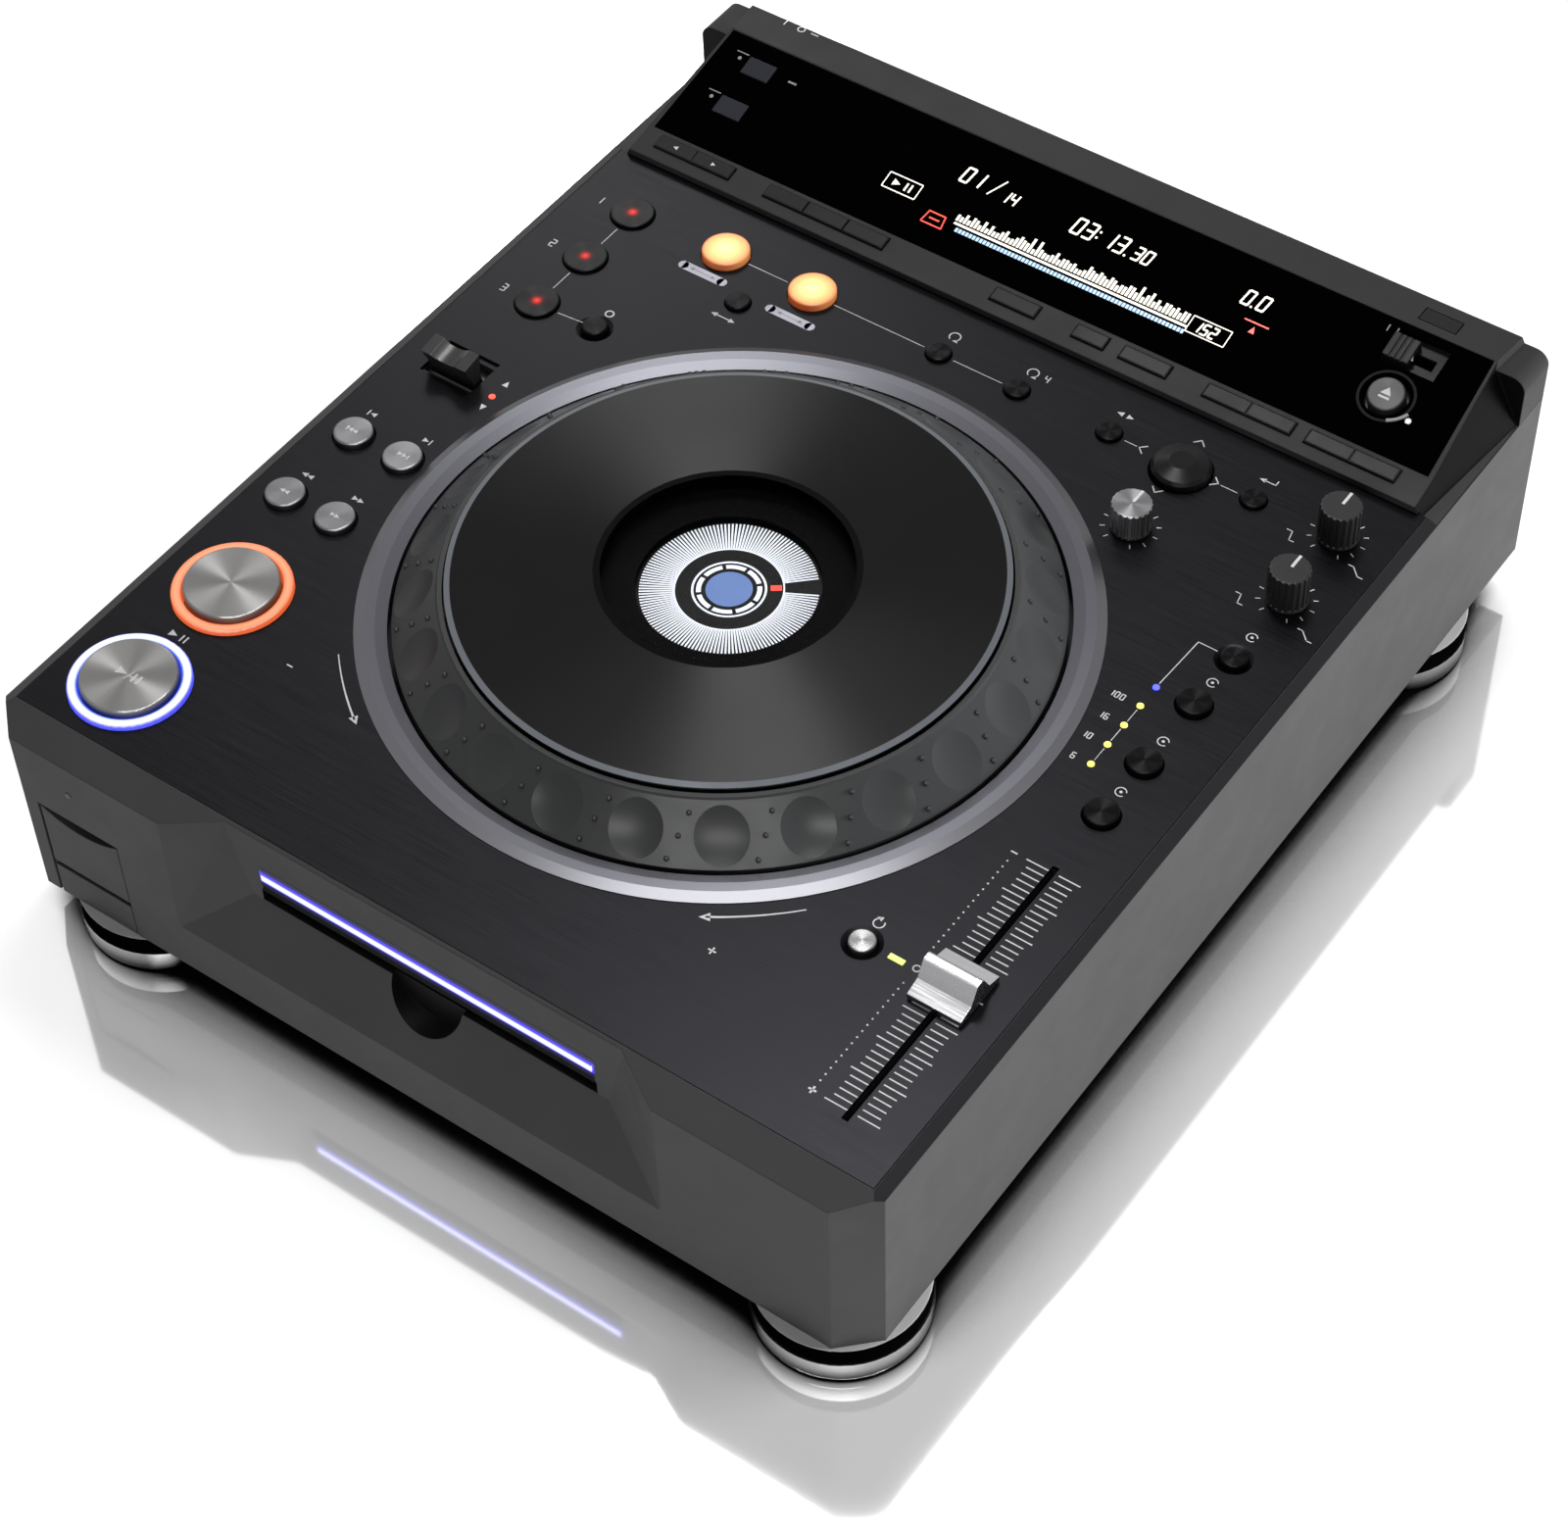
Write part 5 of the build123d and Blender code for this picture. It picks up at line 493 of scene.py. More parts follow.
def dress_jog():
    centre = (0, JOG_Y * MM, 0)
    ring = Paint("ring_metal", (0.084, 0.084, 0.095), 0.36, metal=1.0)
    ring.spun(0.76).turned(centre, 0.0007, 0.05)
    bevel = Paint("ring_bevel", (0.12, 0.12, 0.13), 0.35, metal=1.0).turned(centre, 0.0007, 0.03)
    low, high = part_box("jog_ring")
    crest = (high.x - low.x) / 2 / MM - RING_SLOPE_W

    def ring_part(point, normal):
        return ring if in_circle(point, 0, JOG_Y, crest + 0.2) else bevel

    wear_material("jog_ring", ring, bevel, choose=ring_part)
    smooth("jog_ring", 12.0)
    rubber = Paint("wheel_rubber", (0.032, 0.033, 0.034), 0.33, specular=0.2)
    rubber.mottle(50.0, 0.05).wear(80.0, 0.03).grain(3000.0, 0.08)
    wear_material("jog_wheel", rubber)
    smooth("jog_wheel", 28.0)
    metal = Paint("jog_metal", (0.0114, 0.0113, 0.0113), 0.3, metal=1.0).spun(0.94)
    metal.mottle(40.0, 0.05).turned(centre, 0.00045, 0.2)
    rim = Paint("jog_rim", (0.14, 0.15, 0.165), 0.16, metal=1.0).mottle(60.0, 0.04).wear(50.0, 0.04)
    lens = Paint("jog_lens", grey(0.0015), 0.03, specular=0.05).mottle(60.0, 0.05)
    edge = lens.remap(lens.radius_from(centre), JOG_CLEAR_R * MM, (JOG_CLEAR_R + 0.4) * MM, 0.05, 1.0)
    lens.link(edge, lens.shader.inputs["Alpha"])
    screen = Paint("screen_face", grey(0.004), 0.4, specular=0.1).mottle(60.0, 0.05)

    def plate_part(point, normal):
        if in_circle(point, 0, JOG_Y, JOG_LENS_R):
            return lens
        return metal if in_circle(point, 0, JOG_Y, JOG_RIM_R) else rim

    wear_material("jog_plate", metal, rim, lens, choose=plate_part)
    smooth("jog_plate", 3.0)
    wear_material("jog_display", screen)


METAL_BUTTONS = ("track_back_button", "track_forward_button", "search_back_button", "search_forward_button")
HOT_BUTTONS = ("hot_cue_a_button", "hot_cue_b_button", "hot_cue_c_button")
LIT_BUTTONS = ("loop_in_button", "loop_out_button")
SMALL_BUTTONS = ("record_mode_button", "back_and_forth_button", "reloop_button", "four_beat_button",
                 "cue_call_button", "enter_button", "hyper_jog_button")
MODE_BUTTONS = ("jog_mode_button", "tempo_range_button", "master_tempo_button")
PLAIN_KNOBS = ("touch_brake_knob", "release_start_knob")
KNOBS = ("jog_adjust_knob",) + PLAIN_KNOBS
KEYS = ("angle_key", "subtitle_key", "audio_key", "display_key", "delete_key", "memory_key",
        "folder_rocker", "menu_rocker", "return_rocker")


def dress_round(name, paint):
    wear_material(name, paint)
    smooth(name)


def dress_buttons():
    for name in ("play_button", "cue_button"):
        disc = Paint(name + "_metal", (0.17, 0.168, 0.165), 0.3, metal=1.0).spun(0.88)
        dress_round(name, disc.mottle(60.0, 0.04).turned(centre_line(name), 0.0004, 0.3))
    for name in METAL_BUTTONS:
        cap = Paint(name + "_metal", (0.125, 0.125, 0.13), 0.28, metal=1.0).spun(0.5)
        dress_round(name, cap.mottle(60.0, 0.05).turned(centre_line(name), 0.0003, 0.2))
    for name in HOT_BUTTONS:
        cap = Paint(name + "_gloss", grey(0.008), 0.26, metal=1.0).spun(0.9).mottle(60.0, 0.05)
        dress_round(name, cap.glow_rings(
            centre_line(name), 0.0, HOT_GLOW_R,
            [(0.0, (1.0, 0.1, 0.06)), (0.25, (0.75, 0.012, 0.006)), (0.6, (0.06, 0.0, 0.0)),
             (1.0, grey(0.0))], 1.0))
    for name in LIT_BUTTONS:
        cap = Paint(name + "_glow", (0.5, 0.3, 0.12), 0.35).mottle(120.0, 0.04)
        dress_round(name, cap.glow_rings(
            centre_line(name), 0.0, LIT_GLOW_R,
            [(0.0, (1.0, 0.84, 0.44)), (0.5, (1.0, 0.64, 0.2)), (0.8, (1.0, 0.36, 0.07)),
             (0.93, (0.75, 0.14, 0.02)), (1.0, (0.22, 0.03, 0.005))], 1.0))
    black = Paint("button_black", grey(0.006), 0.3, metal=1.0).spun(0.85).mottle(90.0, 0.08)
    for name in SMALL_BUTTONS + MODE_BUTTONS:
        dress_round(name, black)
    reset = Paint("reset_silver", grey(0.15), 0.24, metal=1.0).spun(0.6).mottle(60.0, 0.03)
    dress_round("tempo_reset_button", reset)
    key = moulded("key_plastic", grey(0.013), 0.36, 0.12)
    for name in KEYS:
        wear_material(name, key)
    slate = moulded("slate_key", (0.022, 0.023, 0.032), 0.4, 0.1)
    for name in ("time_mode_key", "text_mode_key"):
        wear_material(name, slate)
    wear_material("stop_button", key)
    wear_material("power_button", black)
    eject = Paint("eject_cap", grey(0.036), 0.45, metal=1.0).spun(0.6).mottle(60.0, 0.05)
    dress_round("eject_button", eject)
    wear_material("lock_slide", moulded("lock_knob", (0.007, 0.007, 0.009), 0.45, 0.15))


def dress_controls():
    black = moulded("knob_black", grey(0.012), 0.36, 0.25)
    for name in PLAIN_KNOBS:
        dress_round(name, black)
    silver = Paint("knob_silver", (0.14, 0.14, 0.145), 0.3, metal=1.0).spun(0.8).mottle(90.0, 0.05)

    def choose(point, normal):
        return silver if point.z > DECK + 3.0 else black

    wear_material("jog_adjust_knob", black, silver, choose=choose)
    smooth("jog_adjust_knob")
    wear_material("tempo_fader", steel("fader_silver", (0.43, 0.43, 0.44), 0.24))
    smooth("tempo_fader", 25.0)
    dress_round("direction_lever", glossy("lever_black", grey(0.008), 0.3))
    wear_material("cursor_stick", glossy("stick_black", grey(0.004), 0.26, 0.1))
    wear_material("cursor_gimbal", glossy("gimbal_black", grey(0.02), 0.3))


# Printed and cut shapes

# The seven bars of a number in a cell one wide and two high, and the bars of each digit
BARS = {"a": ((0, 2), (1, 2)), "b": ((1, 2), (1, 1)), "c": ((1, 1), (1, 0)), "d": ((0, 0), (1, 0)),
        "e": ((0, 1), (0, 0)), "f": ((0, 2), (0, 1)), "g": ((0, 1), (1, 1))}
DIGITS = {"0": "abcdef", "1": "bc", "2": "abged", "3": "abgcd", "4": "fgbc", "5": "afgcd",
          "6": "afgedc", "7": "abc", "8": "abcdefg", "9": "abfgcd"}


class Ink:
    """Flat shapes on one surface, in millimetres in plan, joined into one thin piece."""

    def __init__(self, place):
        self.place = place
        self.shapes = []

    def area(self, points):
        self.shapes.append([tuple(p) for p in points])

    def box(self, x, y, w, h, turn=0.0):
        c, s = math.cos(math.radians(turn)), math.sin(math.radians(turn))
        corners = [(-w / 2, -h / 2), (w / 2, -h / 2), (w / 2, h / 2), (-w / 2, h / 2)]
        self.area([(x + a * c - b * s, y + a * s + b * c) for a, b in corners])

    def outline(self, x0, y0, x1, y1, width):
        corners = ((x0, y0), (x1, y0), (x1, y1), (x0, y1))
        for i in range(4):
            self.line(corners[i - 1], corners[i], width)

    def line(self, a, b, width):
        length = math.hypot(b[0] - a[0], b[1] - a[1])
        turn = math.degrees(math.atan2(b[1] - a[1], b[0] - a[0]))
        self.box((a[0] + b[0]) / 2, (a[1] + b[1]) / 2, length, width, turn)

    def path(self, points, width):
        for a, b in zip(points, points[1:]):
            self.line(a, b, width)
        for x, y in points[1:-1]:
            self.dot(x, y, width / 2, 12)

    def dot(self, x, y, r, sides=24):
        step = 2 * math.pi / sides
        self.area([around(x, y, r, i * step) for i in range(sides)])

    def arc(self, x, y, r, width, start=0.0, end=360.0, step=4.0):
        count = max(2, round((end - start) / step))
        turn = math.radians((end - start) / count)
        first = math.radians(start)
        inner, outer = r - width / 2, r + width / 2
        for i in range(count):
            a, b = first + i * turn, first + (i + 1) * turn
            corners = ((inner, a), (outer, a), (outer, b), (inner, b))
            self.area([around(x, y, radius, angle) for radius, angle in corners])

    def arrow(self, x, y, size, turn):
        """A filled triangle that points along turn, in degrees."""
        a = math.radians(turn)
        self.area([around(x, y, size, a + t) for t in (0.0, 2.3, -2.3)])

    def chevron(self, x, y, size, turn, width):
        a = math.radians(turn)
        first, last = (around(x, y, -size, a + t) for t in (0.75, -0.75))
        self.path([first, (x, y), last], width)

    def digits(self, text, x, y, h, width=0.5, lean=0.16, pitch=0.78):
        """Seven-bar numbers, with their lower left corner at x, y."""
        wide = h * 0.5
        for char in text:
            for bar in DIGITS.get(char, ""):
                ends = [(x + u * wide + v * h / 2 * lean, y + v * h / 2) for u, v in BARS[bar]]
                self.line(*ends, width)
            if char in ".:":
                for v in ((0.0,) if char == "." else (0.3, 0.7)):
                    self.dot(x + v * h * lean, y + v * h, width * 0.6, 8)
            x += h * pitch * (0.4 if char in ".: " else 1.0)

    def make(self, name, paint, body="player", height=PRINT_T):
        mesh = bpy.data.meshes.new(name)
        form = bmesh.new()
        up = (self.place.to_3x3() @ Vector((0, 0, 1))).normalized() * height * MM
        for shape in self.shapes:
            low = [form.verts.new(self.place @ Vector((u, v, 0))) for u, v in shape]
            high = [form.verts.new(vert.co + up) for vert in low]
            count = len(shape)
            form.faces.new(high)
            form.faces.new(list(reversed(low)))
            for i in range(count):
                j = (i + 1) % count
                form.faces.new([low[i], low[j], high[j], high[i]])
        bmesh.ops.recalc_face_normals(form, faces=form.faces)
        form.to_mesh(mesh)
        form.free()
        mesh.materials.append(paint.material)
        piece = bpy.data.objects.new(name, mesh)
        bpy.context.scene.collection.objects.link(piece)
        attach(piece, body)


def steps(low, high, count):
    """Evenly spaced values from low to high, both included."""
    return [low + (high - low) * i / (count - 1) for i in range(count)]


def print_fader_scale():
    """Ticks on both sides of the fader's slit, and a dotted line with its signs beside them."""
    ink = Ink(FLAT_DECK)
    for i, y in enumerate(steps(-161.3, -60.4, 41)):
        long = i % 5 == 0
        ink.line((127.9 if long else 129.4, y), (135.4, y), 0.42)
        ink.line((138.9, y), (146.2 if long else 144.8, y), 0.42)
    dots_x = 123.7
    for y in steps(-157.3, -64.0, 38):
        if abs(y + 111.0) > 4.5:
            ink.dot(dots_x, y, 0.32, 8)
    ink.line((122.6, -60.3), (124.8, -60.3), 0.5)
    ink.line((122.4, -161.1), (125.0, -161.1), 0.6)
    ink.line((dots_x, -162.4), (dots_x, -159.8), 0.6)
    ink.arc(124.0, -110.7, 1.1, 0.45, step=20)
    ink.make("fader_scale", WHITE_INK)


def print_deck_marks():
    """Thin lines that join the controls, and the arrows round the cursor stick."""
    ink = Ink(FLAT_DECK)
    thin = 0.25
    hot = [plan(name) for name in HOT_BUTTONS]
    for a, b in zip(hot, hot[1:]):
        ink.line((a[0], a[1] - 8.6), (b[0], b[1] + 8.6), thin)
    x, y = plan("record_mode_button")
    ink.line((hot[-1][0] + 8.6, hot[-1][1]), (x - 5.0, y), thin)
    row = ("loop_out_button", "reloop_button", "four_beat_button")
    loop_out, reloop, four_beat = (plan(name)[0] for name in row)
    for x0, x1, y in ((loop_out + 9.0, reloop - 5.6, 99.7), (reloop + 5.6, four_beat - 5.6, 99.6),
                      (61.0, 65.6, 99.5), (96.2, 102.3, 99.5), (-86.0, -70.0, 100.2)):
        ink.line((x0, y), (x1, y), thin)
    x, y = plan("cursor_stick")
    for dx, dy, turn in ((-15.0, 1.3, 180), (-1.3, 13.8, 90), (11.5, 1.5, 0), (-1.8, -11.7, 270)):
        ink.chevron(*around(x + dx, y + dy, 1.2, math.radians(turn)), 2.9, turn, 0.4)
    for i in range(3):
        y = LAMP_ROW_Y - LAMP_PITCH * i
        ink.line((LAMP_ROW_X, y - 1.8), (LAMP_ROW_X, y - 7.3), thin)
    ink.path([(LAMP_ROW_X, BLUE_LAMP_Y + 1.8), (124.9, 39.1), (131.6, 39.1)], 0.3)
    ink.make("deck_lines", WHITE_INK)


def print_jog_arrows():
    """Curved arrows in front of the wheel, thicker towards their heads, with a minus and a plus."""
    ink = Ink(FLAT_DECK)
    radius = 119.3
    count = 10
    for start, end, head, away in ((-136.6, -123.5, -123.5, 90), (-57.4, -43.6, -57.4, -90)):
        for i in range(count):
            a, b = (math.radians(start + (end - start) * j / count) for j in (i, i + 1))
            near_head = i / count if head == end else 1 - i / count
            width = 0.35 + 0.35 * near_head
            ink.line(around(0, JOG_Y, radius, a), around(0, JOG_Y, radius, b), width)
        ink.arrow(*around(0, JOG_Y, radius, math.radians(head)), 2.0, head + away)
    ink.line((-97.0, -122.6), (-94.8, -122.6), 0.5)
    ink.line((71.6, -138.0), (74.2, -138.0), 0.5)
    ink.line((72.9, -139.3), (72.9, -136.7), 0.5)
    ink.make("jog_arrows", WHITE_INK)


def print_knob_scales():
    ink = Ink(FLAT_DECK)
    for name in KNOBS:
        x, y = plan(name)
        for degrees in range(-60, 241, 30):
            angle = math.radians(degrees)
            ink.line(around(x, y, 8.0, angle), around(x, y, 9.6, angle), 0.3)
    for name in PLAIN_KNOBS:
        x, y = plan(name)
        for bend in (((-14.6, -5.8), (-12.6, -5.8), (-11.8, -9.6), (-10.0, -9.6)),
                     ((8.6, -8.4), (10.4, -8.4), (13.4, -11.4), (15.2, -11.4))):
            ink.path([(x + dx, y + dy) for dx, dy in bend], 0.35)
    ink.make("knob_scales", WHITE_INK)


def print_icons():
    """Small signs where the controls are labelled."""
    ink = Ink(FLAT_DECK)
    for number, name in zip("123", HOT_BUTTONS):
        x, y = plan(name)
        ink.digits(number, x - 14.5, y - 1.6, 3.2, 0.42, 0.0)
    for name, sign in (("track_back_button", -1), ("track_forward_button", 1)):
        x, y = plan(name)
        ink.line((x + sign * 2.6, y + 9.6), (x + sign * 2.6, y + 12.0), 0.4)
        ink.arrow(x + sign * 0.6, y + 10.8, 1.3, 90 - sign * 90)
    for name, sign in (("search_back_button", -1), ("search_forward_button", 1)):
        x, y = plan(name)
        for dx in (-1.0, 1.2):
            ink.arrow(x + dx, y + 10.8, 1.3, 90 - sign * 90)
    x, y = plan("play_button")
    ink.arrow(x - 2.6, y + 22.4, 1.7, 0)
    ink.line((x + 0.9, y + 21.0), (x + 0.9, y + 23.8), 0.55)
    ink.line((x + 2.5, y + 21.0), (x + 2.5, y + 23.8), 0.55)
    x, y = plan("direction_lever")
    ink.arrow(x + 17.6, y + 3.0, 1.5, 90)
    ink.arrow(x + 17.6, y - 9.4, 1.5, 270)
    x, y = plan("record_mode_button")
    ink.arc(x - 0.2, y + 8.2, 1.4, 0.45, step=20)
    x, y = plan("back_and_forth_button")
    ink.line((x - 3.4, y - 8.4), (x + 3.4, y - 8.4), 0.4)
    ink.arrow(x - 3.4, y - 8.4, 1.3, 180)
    ink.arrow(x + 3.4, y - 8.4, 1.3, 0)
    for name in ("reloop_button", "four_beat_button"):
        x, y = plan(name)
        ink.arc(x, y + 9.6, 1.9, 0.4, -60, 240, 20)
        ink.arrow(x + 1.2, y + 7.9, 1.1, 200)
    x, y = plan("four_beat_button")
    ink.digits("4", x + 4.6, y + 8.2, 2.8, 0.4, 0.0)
    x, y = plan("cue_call_button")
    ink.arrow(x - 1.6, y + 9.6, 1.4, 180)
    ink.arrow(x + 1.8, y + 9.6, 1.4, 0)
    x, y = plan("enter_button")
    ink.path([(x + 2.4, y + 11.4), (x + 2.4, y + 9.4), (x - 1.6, y + 9.4)], 0.4)
    ink.arrow(x - 2.0, y + 9.4, 1.3, 180)
    for name in ("hyper_jog_button",) + MODE_BUTTONS:
        x, y = plan(name)
        ink.arc(x, y + 10.6, 1.7, 0.35, 20, 320, 20)
        ink.dot(x, y + 10.6, 0.5, 10)
    for i, text in enumerate(("100", "16", "10", "6")):
        y = LAMP_ROW_Y - LAMP_PITCH * i - 1.1
        ink.digits(text, 119.2 - 1.9 * len(text), y, 2.2, 0.36, 0.0, 0.86)
    x, y = plan("tempo_reset_button")
    ink.arc(x, y + 8.4, 1.7, 0.4, 100, 400, 20)
    ink.arrow(x - 0.6, y + 10.1, 1.1, 180)
    ink.make("deck_signs", WHITE_INK)


def print_plaques():
    """Pale pills beside the two lit buttons."""
    places = ((-95.9, 88.0), (-59.6, 86.7))
    ink = Ink(FLAT_DECK)
    for x, y in places:
        ink.box(x, y, 15.6, 3.6)
        ink.dot(x - 7.8, y, 1.8)
        ink.dot(x + 7.8, y, 1.8)
    ink.make("loop_plaques", PALE_INK)
    ink = Ink(level(DECK + PRINT_T))
    for x, y in places:
        ink.arrow(x - 4.2, y, 1.0, 180)
        ink.line((x - 4.0, y), (x + 4.0, y), 0.3)
        ink.arrow(x + 4.2, y, 1.0, 0)
    ink.make("loop_plaque_signs", GREY_INK, height=PRINT_T / 2)


def print_button_signs():
    """Play and pause, skip and search signs on the button tops."""
    x, y, top = spot("play_button")
    ink = Ink(level(top))
    ink.arrow(x - 2.9, y, 2.1, 0)
    ink.line((x - 0.2, y - 1.9), (x + 0.9, y + 1.9), 0.3)
    for dx in (2.3, 4.2):
        ink.line((x + dx, y - 1.7), (x + dx, y + 1.7), 0.8)
    ink.make("play_sign", Paint("sign_white", grey(0.75), 0.4).mottle(200.0, 0.05), "play_button")
    for name, sign, skip in (("track_back_button", -1, True), ("track_forward_button", 1, True),
                             ("search_back_button", -1, False), ("search_forward_button", 1, False)):
        x, y, top = spot(name)
        ink = Ink(level(top))
        turn = 90 - sign * 90
        ink.arrow(x - 0.9 * sign, y, 1.1, turn)
        ink.arrow(x + 0.9 * sign, y, 1.1, turn)
        if skip:
            ink.line((x + 2.3 * sign, y - 1.0), (x + 2.3 * sign, y + 1.0), 0.5)
        ink.make(name + "_sign", Paint(name + "_ink", grey(0.85), 0.5).mottle(200.0, 0.05), name)


def knob_pointers():
    for name in KNOBS:
        x, y, top = spot(name)
        ink = Ink(level(top - 0.26))
        ink.box(x, y + 3.5, 0.95, 5.6)
        ink.make(name + "_pointer", WHITE_INK, name, height=0.3)


def jog_surround():
    """The black mask round the small display, under the clear part of the jog plate."""
    black = Paint("mask_black", grey(0.0015), 0.6, specular=0.03).mottle(80.0, 0.1)
    ink = Ink(level(JOG_SCREEN_Z + 2.1))
    ink.arc(0, JOG_Y, 34.4, 11.8, step=3)
    ink.make("jog_mask", black, height=0.4)


def jog_screen_picture():
    """The lit ticks, rings and red marker of the round display."""
    ink = Ink(JOG_SCREEN)
    ticks = 144
    gap = 7.0
    heading = 36.0
    for i in range(ticks):
        past = 360.0 * i / ticks
        if gap <= past <= 360.0 - gap:
            a = math.radians(heading + past)
            ink.line(around(0, JOG_Y, 16.9, a), around(0, JOG_Y, 27.4, a), 0.56)
    ink.arc(0, JOG_Y, 16.7, 0.5)
    ink.arc(0, JOG_Y, 11.2, 0.7)
    for i in range(8):
        ink.arc(0, JOG_Y, 9.3, 1.5, 45 * i + 3.5, 45 * i + 41.5)
    ink.make("screen_ticks", SCREEN_WHITE)
    ink = Ink(JOG_SCREEN)
    a = math.radians(heading)
    ink.line(around(0, JOG_Y, 12.6, a), around(0, JOG_Y, 16.0, a), 2.2)
    ink.make("screen_marker", DISPLAY_RED)
    ink = Ink(JOG_SCREEN)
    ink.dot(0, JOG_Y, 7.2, 40)
    ink.make("screen_middle", SCREEN_BLUE)


def display_picture():
    """Numbers, signs and a sound wave under the smoked window."""
    ink = Ink(WINDOW)
    for text, x, y, size, width in (
            ("01", -43.0, 161.0, 5.6, 0.75), ("14", -26.6, 160.2, 4.2, 0.6), ("03:", 1.0, 160.2, 5.8, 0.75),
            ("13.", 13.0, 160.2, 5.8, 0.75), ("30", 24.4, 160.2, 4.8, 0.65), ("0.0", 65.0, 161.6, 5.2, 0.7),
            ("152", 56.4, 146.2, 3.8, 0.6)):
        ink.digits(text, x, y, size, width)
    ink.line((-31.6, 160.4), (-27.6, 167.4), 0.5)
    ink.box(-59.0, 154.0, 13.0, 0.4)
    ink.box(-59.0, 148.2, 13.0, 0.4)
    ink.line((-65.5, 148.2), (-65.5, 154.0), 0.4)
    ink.line((-52.5, 148.2), (-52.5, 154.0), 0.4)
    ink.arrow(-61.5, 151.1, 1.7, 0)
    ink.line((-57.5, 149.6), (-57.5, 152.6), 0.7)
    ink.line((-55.7, 149.6), (-55.7, 152.6), 0.7)
    ink.outline(54.6, 145.2, 68.8, 151.2, 0.35)
    ink.make("display_digits", DISPLAY_WHITE)
    wave = Ink(WINDOW)
    draw = random.Random(7)
    bars = 64
    for i, x in enumerate(steps(-35.0, 53.0, bars)):
        tall = 1.6 + 4.4 * draw.random() * (0.55 + 0.45 * math.sin(i * 0.21) ** 2)
        wave.box(x, 147.6 + tall / 2, 0.95, tall)
    wave.box(9.5, 146.6, 89.5, 0.8)
    wave.make("display_wave", DISPLAY_WHITE)
    bar = Ink(WINDOW)
    for x in steps(-33.0, 54.0, bars):
        bar.box(x, 144.6, 1.05, 1.5)
    bar.make("display_bar", lit("display_bar_light", (0.45, 0.65, 0.9), 0.7))
    red = Ink(WINDOW)
    red.path([(-46.0, 142.6), (-45.2, 147.0), (-38.8, 147.0), (-38.0, 142.6), (-46.0, 142.6)], 0.5)
    red.line((-44.0, 144.8), (-40.0, 144.8), 0.6)
    red.box(74.0, 157.2, 9.0, 0.5)
    red.arrow(74.0, 154.4, 1.5, 90)
    red.make("display_red_marks", DISPLAY_RED)


def print_housing_signs():
    """Signs beside the eject button, the two keys and the power button, and on the folder rocker."""
    window = Ink(WINDOW)
    window.arrow(124.0, 167.7, 1.4, 90)
    for name in ("time_mode_key", "text_mode_key"):
        x, y = plan(name)
        window.dot(x - 9.0, y, 0.7, 10)
        window.line((x - 11.5, y + 2.2), (x - 6.5, y + 2.2), 0.35)
    window.line((-118.0, 168.6), (-114.6, 168.6), 0.7)
    for x in (112.0, 115.2):
        window.line((x, 175.2), (x, 172.8), 0.4)
    window.make("window_marks", GREY_INK)
    roof = Ink(ROOF)
    roof.digits("1", -136.0, 189.5, 2.6, 0.4, 0.0)
    roof.arc(-128.0, 190.8, 1.3, 0.4, step=20)
    roof.line((-124.0, 190.8), (-121.0, 190.8), 0.4)
    roof.make("power_marks", WHITE_INK)
    rocker = Ink(surface(*((y, z + LEDGE_KEY_RISE) for y, z in (LEDGE_FRONT, WINDOW_FRONT))))
    x, y = plan("folder_rocker")
    rocker.arrow(x - 7.8, 129.4, 1.0, 180)
    rocker.arrow(x + 7.8, 129.4, 1.0, 0)
    rocker.make("folder_rocker_signs", WHITE_INK, "folder_rocker")


def eject_signs():
    """The eject sign on its cap, and a painted highlight on part of the ring round it."""
    up = Vector((0, -math.sin(WINDOW_TILT), math.cos(WINDOW_TILT)))
    points = [vert.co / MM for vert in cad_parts["eject_button"].data.vertices]
    top = max(point.dot(up) for point in points)
    face = [point for point in points if point.dot(up) > top - 0.01]
    x, y, z = sum(face, Vector()) / len(face)
    ink = Ink(surface((y, z), (y + 1.0, z + math.tan(WINDOW_TILT))))
    ink.area([(x - 1.9, y - 0.5), (x + 1.9, y - 0.5), (x, y + 2.2)])
    ink.box(x, y - 1.6, 3.8, 0.8)
    ink.make("eject_sign", Paint("eject_ink", grey(0.6), 0.4).mottle(200.0, 0.05), "eject_button")
    # A grey arc on part of the ring round the eject button: a painted highlight.
    painted_ring_highlight = Ink(WINDOW)
    painted_ring_highlight.arc(124.0, plan("eject_button")[1] + 0.6, 10.6, 0.9, -66, -28, 4)
    painted_ring_highlight.make("eject_ring_painted_highlight", GREY_INK, height=0.5)


